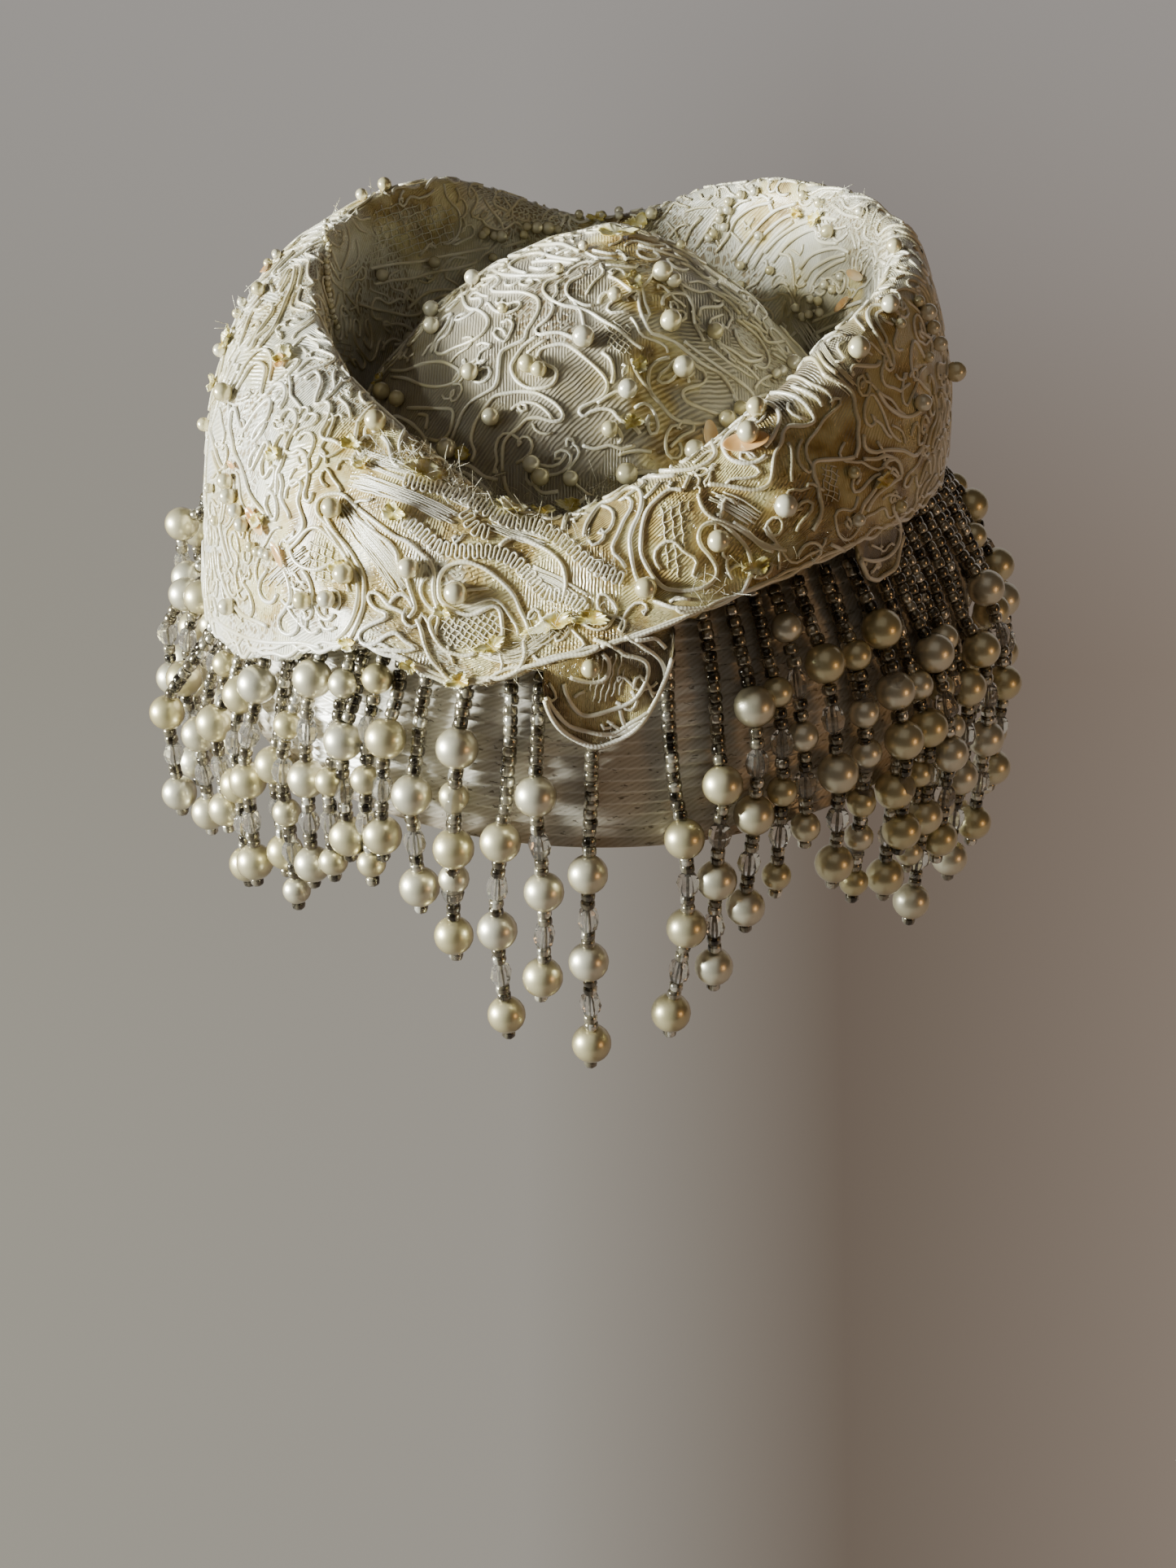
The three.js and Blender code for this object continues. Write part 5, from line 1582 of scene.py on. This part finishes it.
def side_by_side(drawing, half, count, seed):
    """Threads beside a drawn line, spread over its width, each wandering a little."""
    dice = np.random.default_rng(seed)
    centre = smooth_line(drawing, 6)
    along = unit(np.gradient(centre, axis=0))
    aside = np.stack([-along[:, 1], along[:, 0]], axis=1)
    lines = []
    for offset in np.linspace(-half, half, count):
        drift = offset + np.cumsum(dice.normal(0, 0.45, len(centre)))
        start, end = dice.integers(0, 3), len(centre) - dice.integers(0, 3)
        lines.append((centre + aside * drift[:, None])[start:end])
    return [line for line in lines if len(line) > 3]


def inside(points, corners):
    """Whether points lie in a polygon: a line to the right crosses its sides an odd number of times."""
    odd = np.zeros(len(points), bool)
    for (x1, y1), (x2, y2) in zip(corners, corners[1:] + corners[:1]):
        spans = (points[:, 1] < y1) != (points[:, 1] < y2)
        odd ^= spans & (points[:, 0] < x1 + (points[:, 1] - y1) * (x2 - x1) / (y2 - y1 + 1e-9))
    return odd


NET_REACH, NET_STEP = 90, 4.0  # px from a net's middle, and along its threads


def net_lines(corners, spacing, directions, seed):
    """Two sets of parallel wavy threads, cut to the polygon."""
    dice = np.random.default_rng(seed)
    middle = np.mean(corners, axis=0)
    lines = []
    for direction in directions:
        along = np.array([np.cos(np.radians(direction)), np.sin(np.radians(direction))])
        aside = np.array([-along[1], along[0]])
        for offset in np.arange(-NET_REACH, NET_REACH, spacing):
            run = np.arange(-NET_REACH, NET_REACH, NET_STEP)[:, None]
            wave = np.sin(run * 0.35 + offset) * 0.9 + dice.normal(0, 0.3, run.shape)
            points = middle + along * run + aside * (offset + wave)
            kept = inside(points, corners)
            if kept.sum() > 2:
                first, last = np.flatnonzero(kept)[[0, -1]]
                lines.append(points[first : last + 1])
    return lines


ladders = [ladder_line(drawing, 7, 5.2) for drawing in LADDERS]
ribbons = [line for seed, drawing in enumerate(RIBBONS) for line in side_by_side(drawing, 9, 12, seed)]
nets = [line for seed, row in enumerate(NETS) for line in net_lines(*row, seed)]
print(len(ladders), "ladders,", len(ribbons), "ribbon threads,", len(nets), "net threads")

new_piece("ladder_braid", couched(ladders, 0.46, 2.2, 0.7, 5), silk, "brim_lace")
new_piece("frayed_ribbons", couched(ribbons, 0.34, 6.0, 0.6, 4), silk, "brim_lace")
new_piece("open_nets", couched(nets, 0.26, 5.0, 0.6, 4), silk, "brim_lace")

# %% [markdown]
# ## Cords where no drawing reaches
#
# The rest of the cloth, the sides, the back and the gaps, is filled as a lace-maker's
# vermicelli stitch fills it: hundreds of cords wander at the same time, each curving as it
# goes, looking a little ahead, and turning aside from any cord in its way.

# %% Which places are taken
VOXEL = 0.75
VOXEL_CORNER = np.array([-125.0, -125.0, -50.0])
AROUND = np.stack(np.meshgrid(*[[-1, 0, 1]] * 3, indexing="ij"), axis=-1).reshape(-1, 3)
DRAWN = 1_000_000_000
taken = np.zeros((340, 340, 240), np.int32)


def cell_of(points):
    """The small cube of space that each point is in."""
    return np.clip(((points - VOXEL_CORNER) / VOXEL).astype(int), 1, np.array(taken.shape) - 2)


def occupy(points, stamp):
    """Mark the cubes at the points and all round them as taken."""
    spots = cell_of(points)[:, None] + AROUND
    taken[spots[..., 0], spots[..., 1], spots[..., 2]] = np.broadcast_to(np.asarray(stamp), (len(points),))[:, None]


for drawing in LEFT_CORDS + RIGHT_CORDS + CROWN_CORDS + ladders + ribbons[::3] + nets[::2]:
    for line, out in pinned_lines(drawing, 4.0):
        occupy(line, DRAWN)


# %% Cords that wander
VEER = np.array([0, 0.3, -0.3, 0.65, -0.65, 1.05, -1.05, 1.5, -1.5])
STAMP = 1000  # a taken place holds its cord's number times this, and the step it was taken at
OWN_TAIL = 5  # steps back to which a cord doesn't get in its own way
WANDERER, WANDERER_MORE = 0.56, 0.2  # mm: a wandering cord's least width, and what chance adds


def surface_point(grid, spot, closed):
    """The grid's point between its rows and columns at a spot (row, column), closed or not."""
    rows, columns = grid.shape[:2]
    lap = columns - 1
    row, column = spot[..., 0], spot[..., 1] % lap if closed else np.clip(spot[..., 1], 0, lap - 0.001)
    r, c = np.clip(row.astype(int), 0, rows - 2), np.clip(column.astype(int), 0, lap - 1)
    u, v = (row - r)[..., None], (column - c)[..., None]
    return (grid[r, c] * (1 - u) * (1 - v) + grid[r, c + 1] * (1 - u) * v
            + grid[r + 1, c] * u * (1 - v) + grid[r + 1, c + 1] * u * v)


def wander(grid, closed, row_range, walkers, steps, first_id, seed, stride=0.8, curl=0.12):
    """Tracks (row, column) of walkers over a grid. At each step a walker tries its own heading
    and then others farther and farther off it, takes the first that is free, and marks where it
    stands; it stops where none is. Its curving changes slowly, so that it makes loops."""
    dice = np.random.default_rng(seed)
    rows, columns = grid.shape[:2]
    row_length = np.linalg.norm(np.diff(grid, axis=0), axis=-1)
    column_length = np.linalg.norm(np.diff(grid, axis=1), axis=-1)
    spot = np.stack([dice.uniform(*row_range, walkers), dice.uniform(1, columns - 2, walkers)], axis=1)
    heading, bend = dice.uniform(0, 2 * np.pi, walkers), dice.normal(0, 2 * curl, walkers)
    names = first_id + np.arange(walkers)
    alive = np.ones(walkers, bool)
    track = np.full((steps, walkers, 2), np.nan)

    def blocked(places, step):
        """Whether a place is taken by another cord, or lies outside the cloth."""
        cell = cell_of(surface_point(grid, places, closed))
        stamp = taken[cell[..., 0], cell[..., 1], cell[..., 2]]
        own = (stamp // STAMP == names[:, None]) & (step - stamp % STAMP <= OWN_TAIL)
        outside = (places[..., 0] < row_range[0]) | (places[..., 0] > row_range[1])
        if not closed:
            outside |= (places[..., 1] < 1) | (places[..., 1] > columns - 2)
        return outside | ((stamp > 0) & ~own)

    for step in range(steps):
        bend = np.clip(bend + dice.normal(0, curl, walkers), -0.5, 0.5)
        tried = (heading + bend)[:, None] + VEER * np.sign(bend)[:, None]
        r = np.clip(spot[:, 0].astype(int), 0, rows - 2)
        c = np.clip((spot[:, 1] % (columns - 1)).astype(int), 0, columns - 2)
        move = np.stack([np.sin(tried) / row_length[r, c][:, None],
                         np.cos(tried) / np.maximum(column_length[r, c], 0.05)[:, None]], axis=-1) * stride
        free = ~blocked(spot[:, None] + move, step) & ~blocked(spot[:, None] + 2 * move, step)
        choice = np.argmax(free, axis=1)
        alive &= free.any(axis=1)
        chosen = np.arange(walkers), choice
        spot = np.where(alive[:, None], spot + move[chosen], spot)
        heading = tried[chosen]
        track[step, alive] = spot[alive]
        occupy(surface_point(grid, spot[alive], closed), names[alive] * STAMP + step)
    return [line[np.isfinite(line[:, 0])] for line in np.swapaxes(track, 0, 1)]


def eased(line, step):
    """A track with its kinks averaged away, its points the step apart."""
    for _ in range(2):
        line = np.vstack([line[:1], 0.25 * line[:-2] + 0.5 * line[1:-1] + 0.25 * line[2:], line[-1:]])
    length = np.concatenate([[0], np.cumsum(np.linalg.norm(np.diff(line, axis=0), axis=1))])
    even = np.linspace(0, length[-1], max(3, int(length[-1] / step) + 1))
    return np.stack([np.interp(even, length, column) for column in line.T], axis=1)


def normals_of(grid):
    """A grid's outward directions: square to its rows and columns."""
    return unit(np.cross(np.gradient(grid, axis=1), np.gradient(grid, axis=0)))


def wandering_cords(grid, closed, row_range, rounds, walkers, steps, first_id, step=1.15, sign=1, fewest=6):
    """Tubes of thinner cord along wandering tracks, with the side of the hat each is on."""
    out_grid = normals_of(grid) * sign
    tubes, sides = [], []
    for number in range(rounds):
        for track in wander(grid, closed, row_range, walkers, steps, first_id + number * walkers, first_id + number):
            if len(track) >= fewest:
                line = eased(surface_point(grid, track, closed), step)
                middle = track[np.linspace(0, len(track) - 1, len(line)).astype(int)]
                out = unit(surface_point(out_grid, middle, closed))
                width = WANDERER + WANDERER_MORE * np.random.default_rng(len(tubes)).random()
                tubes.append(tube_shape(line + out * 0.3 * width, out, width / 2, 5))
                sides.append(line[len(line) // 2])
    return tubes, np.array(sides)


brim_tubes, brim_sides = wandering_cords(brim_grid, True, (2.0, 86.0), 4, 520, 60, 1)
front = brim_sides[:, 1] < 0
left = brim_sides[:, 0] < 0
for name, chosen in {"left_front": left & front, "right_front": ~left & front,
                     "left_back": left & ~front, "right_back": ~left & ~front}.items():
    new_piece("vermicelli_" + name, [tube for tube, used in zip(brim_tubes, chosen) if used], silk, "brim_lace")
crown_tubes, _ = wandering_cords(crown_grid, True, (4.0, 55.0), 2, 150, 40, 6001)
new_piece("vermicelli_crown", crown_tubes, silk, "crown_lace")
leaf_tubes = []
for number, (name, (points, _)) in enumerate(leaf_grids.items()):
    leaf_tubes += wandering_cords(points, False, (2.0, 23.0), 2, 60, 26, 8001 + 500 * number, 1.0, 1, 4)[0]
    edge = points[1, 1:-1]
    out = unit(edge[len(edge) // 2] * [1, 1, 0])
    edge_line = eased(edge, 1.2)
    leaf_tubes.append(tube_shape(edge_line + out * 0.3, np.broadcast_to(out, edge_line.shape), 0.5, 6))
new_piece("vermicelli_leaves", leaf_tubes, silk, "brim_lace")

# The hem is bound with a cord that wanders up and down over the cloth's raw edge.
hem_turns = np.linspace(0, 360, 700)
hem_share = 0.012 + 0.008 * np.sin(np.radians(hem_turns * 41)) + 0.006 * np.sin(np.radians(hem_turns * 67))
hem_out = outward_of(plain_roll, hem_turns, hem_share + 0.01, 1)
new_piece("hem_cord", [tube_shape(roll_surface(hem_turns, hem_share, 0.15), hem_out, 0.46, 6),
                       tube_shape(roll_surface(hem_turns, hem_share[::-1] + 0.012, 0.15), hem_out, 0.36, 6)],
          silk, "brim_lace")
print(len(brim_tubes), "wandering cords on the brim,", len(crown_tubes), "on the crown")

# %% [markdown]
# ## Torn scraps and fuzz
#
# Flakes of old glue and cloth stand off the lace, and loose thread ends curl up along its torn
# edges. A flake is laid flat on the cloth at its middle, because one pinned point by point
# stretches wherever its rim runs over an edge. Its random draws start from its row's number,
# so a row can be changed and all the other flakes stay as they are.

# %% Torn scraps: stiff flakes of yellowed glue and cloth that stand off the lace
aged_glue = new_material("aged_glue_flake", "#e8dc98", Roughness=0.24, Specular_IOR_Level=0.9)
flake_cloud = add_node(aged_glue, "TexNoise", Scale=420.0, Detail=4.0,
                       Vector=add_node(aged_glue, "TexCoord").outputs["Object"])
flake_tone = add_node(aged_glue, "ValToRGB", Fac=flake_cloud.outputs["Fac"],
                      ramp=[(0.34, "#b5963e"), (0.46, "#e2d27c"), (0.62, "#f8f2cc")])
join(aged_glue, flake_tone.outputs["Color"], "Base Color")
flake_relief = add_node(aged_glue, "Bump", Height=flake_cloud.outputs["Fac"], Strength=0.7, Distance=0.5 * MM)
join(aged_glue, flake_relief.outputs["Normal"], "Normal")

SCRAPS = [
    # across, down, half width, half height, lean in degrees
    (521, 581, 20, 12, 20), (486, 631, 14, 10, 10), (433, 549, 13, 9, 30), (448, 574, 10, 7, -20),
    (606, 796, 18, 8, -15),
    (680, 770, 30, 10, -14), (728, 764, 20, 9, 10), (545, 753, 11, 7, 20), (573, 560, 12, 8, 40), (628, 628, 16, 8, 20),
    (668, 634, 14, 7, -20), (700, 622, 15, 8, 15), (352, 440, 12, 14, 10), (268, 414, 12, 16, 20),
    (300, 300, 12, 9, 10),
    (758, 291, 26, 17, 10), (782, 276, 18, 12, -20), (735, 272, 14, 8, 10), (778, 350, 10, 14, 0),
    (784, 452, 9, 12, 20),
    (776, 521, 11, 9, -10), (1006, 268, 14, 7, -30), (983, 262, 10, 6, 20), (432, 792, 12, 7, 10),
    (566, 838, 14, 8, -10), (500, 826, 10, 7, 30),
    (340, 560, 11, 9, 10), (250, 470, 10, 12, 0), (930, 700, 16, 9, -30), (1080, 590, 14, 9, -20),
    (470, 470, 9, 8, 0), (420, 700, 12, 9, 30), (322, 640, 12, 8, -20),
]


PIXEL = 0.165  # mm to a pixel of the photograph's frame at the hat
FLAKE_RINGS, FLAKE_SPOKES = 7, 45
FLAKE_TEAR, FLAKE_LOBES = 0.13, 0.16  # how far the rim strays, as shares of the half width
FLAKE_LIFT, FLAKE_CURL, FLAKE_WAVE = 0.75, 0.5, 0.7  # mm off the cloth: all of it, and at the rim
FLAKE_THICKNESS = 0.35


def scrap(across_px, down_px, half_wide, half_high, lean, seed):
    """A ragged thin flake square to the cloth at a frame point: rings out to a torn rim, which
    is lifted in waves, by the share out from the middle squared."""
    dice = np.random.default_rng(seed)
    ring, angle = np.meshgrid(np.linspace(0, 1, FLAKE_RINGS), np.linspace(0, 2 * np.pi, FLAKE_SPOKES),
                              indexing="ij")
    torn_rim = 1 + dice.normal(0, FLAKE_TEAR, FLAKE_SPOKES) + FLAKE_LOBES * np.sin(3 * angle[0] + seed)
    torn_rim[-1] = torn_rim[0]
    out_to = ring * torn_rim
    wide, high = half_wide * out_to * np.cos(angle), half_high * out_to * np.sin(angle)
    turned = np.radians(lean)
    pixels = np.stack([across_px + wide * np.cos(turned) - high * np.sin(turned),
                       down_px + wide * np.sin(turned) + high * np.cos(turned)], axis=-1)
    middle, out = (row[0] for row in pin_near([(across_px, down_px)]))
    side = unit(np.array([1.0, 0, 0]) - out * out[0])
    down = np.cross(side, out)
    flat = (pixels - [across_px, down_px]) * PIXEL
    points = middle + flat[..., :1] * side + flat[..., 1:] * down
    lift = FLAKE_LIFT + (FLAKE_CURL + FLAKE_WAVE * np.sin(2 * angle + seed) ** 2) * ring**2
    front = points + out * lift[..., None]
    back = front - out * (FLAKE_THICKNESS * (1 - ring**6))[..., None]
    skin = np.concatenate([front, back[-2::-1]])
    return grid_shape(skin, np.zeros((*skin.shape[:2], 2)), closed=True)


flakes = [scrap(*row, seed) for seed, row in enumerate(SCRAPS)]
flakes_on_cloth = [flake for flake in flakes if np.isfinite(flake["points"]).all()]
print(len(flakes) - len(flakes_on_cloth), "flakes have no cloth under them and are left out")
new_piece("torn_scraps", flakes_on_cloth, aged_glue, "brim_lace", weld=True)

# %% Fuzz: loose thread ends along the torn edges
FUZZ_LINES = [
    ([(290, 400), (310, 340), (345, 285), (395, 245), (450, 228)], 260, 3.2),
    ([(410, 300), (420, 250), (470, 232)], 120, 3.0),
    ([(430, 560), (520, 575), (600, 610), (690, 628), (760, 590)], 420, 3.0),
    ([(560, 612), (640, 636), (720, 680), (764, 712)], 160, 2.6),
    ([(1000, 245), (1060, 262), (1092, 325)], 200, 3.2),
    ([(420, 800), (520, 800), (600, 838), (690, 800)], 90, 1.6),
    ([(620, 820), (690, 770), (740, 750)], 120, 3.4),
    ([(840, 745), (960, 690), (1020, 660), (1100, 640)], 120, 2.6),
]


def fuzz(drawing, count, reach, seed):
    """Loose thread ends: from random places near a drawn line, each leaving the cloth at a slant
    and curling over as it goes."""
    dice = np.random.default_rng(seed)
    line = smooth_line(drawing, 2.0)
    starts = line[dice.integers(0, len(line), count)] + dice.normal(0, 7, (count, 2))
    points, out = pin(starts)
    seen = np.isfinite(points[:, 0])
    points, out = points[seen], out[seen]
    slant = unit(out * 0.7 + dice.normal(0, 0.8, out.shape))
    curl = dice.normal(0, 0.7, out.shape)
    far = np.linspace(0, 1, 6)[:, None]
    hairs = []
    for point, aside, lean, bend, size in zip(points, out, slant, curl, dice.uniform(0.3, 1, len(points)) * reach):
        path = point + (lean * far + bend * far**2) * size
        hairs.append(tube_shape(path, unit(aside + 0.1), 0.05, 3))
    return hairs


new_piece("frayed_fuzz", [hair for seed, row in enumerate(FUZZ_LINES) for hair in fuzz(*row, seed + 50)], silk,
          "brim_lace")
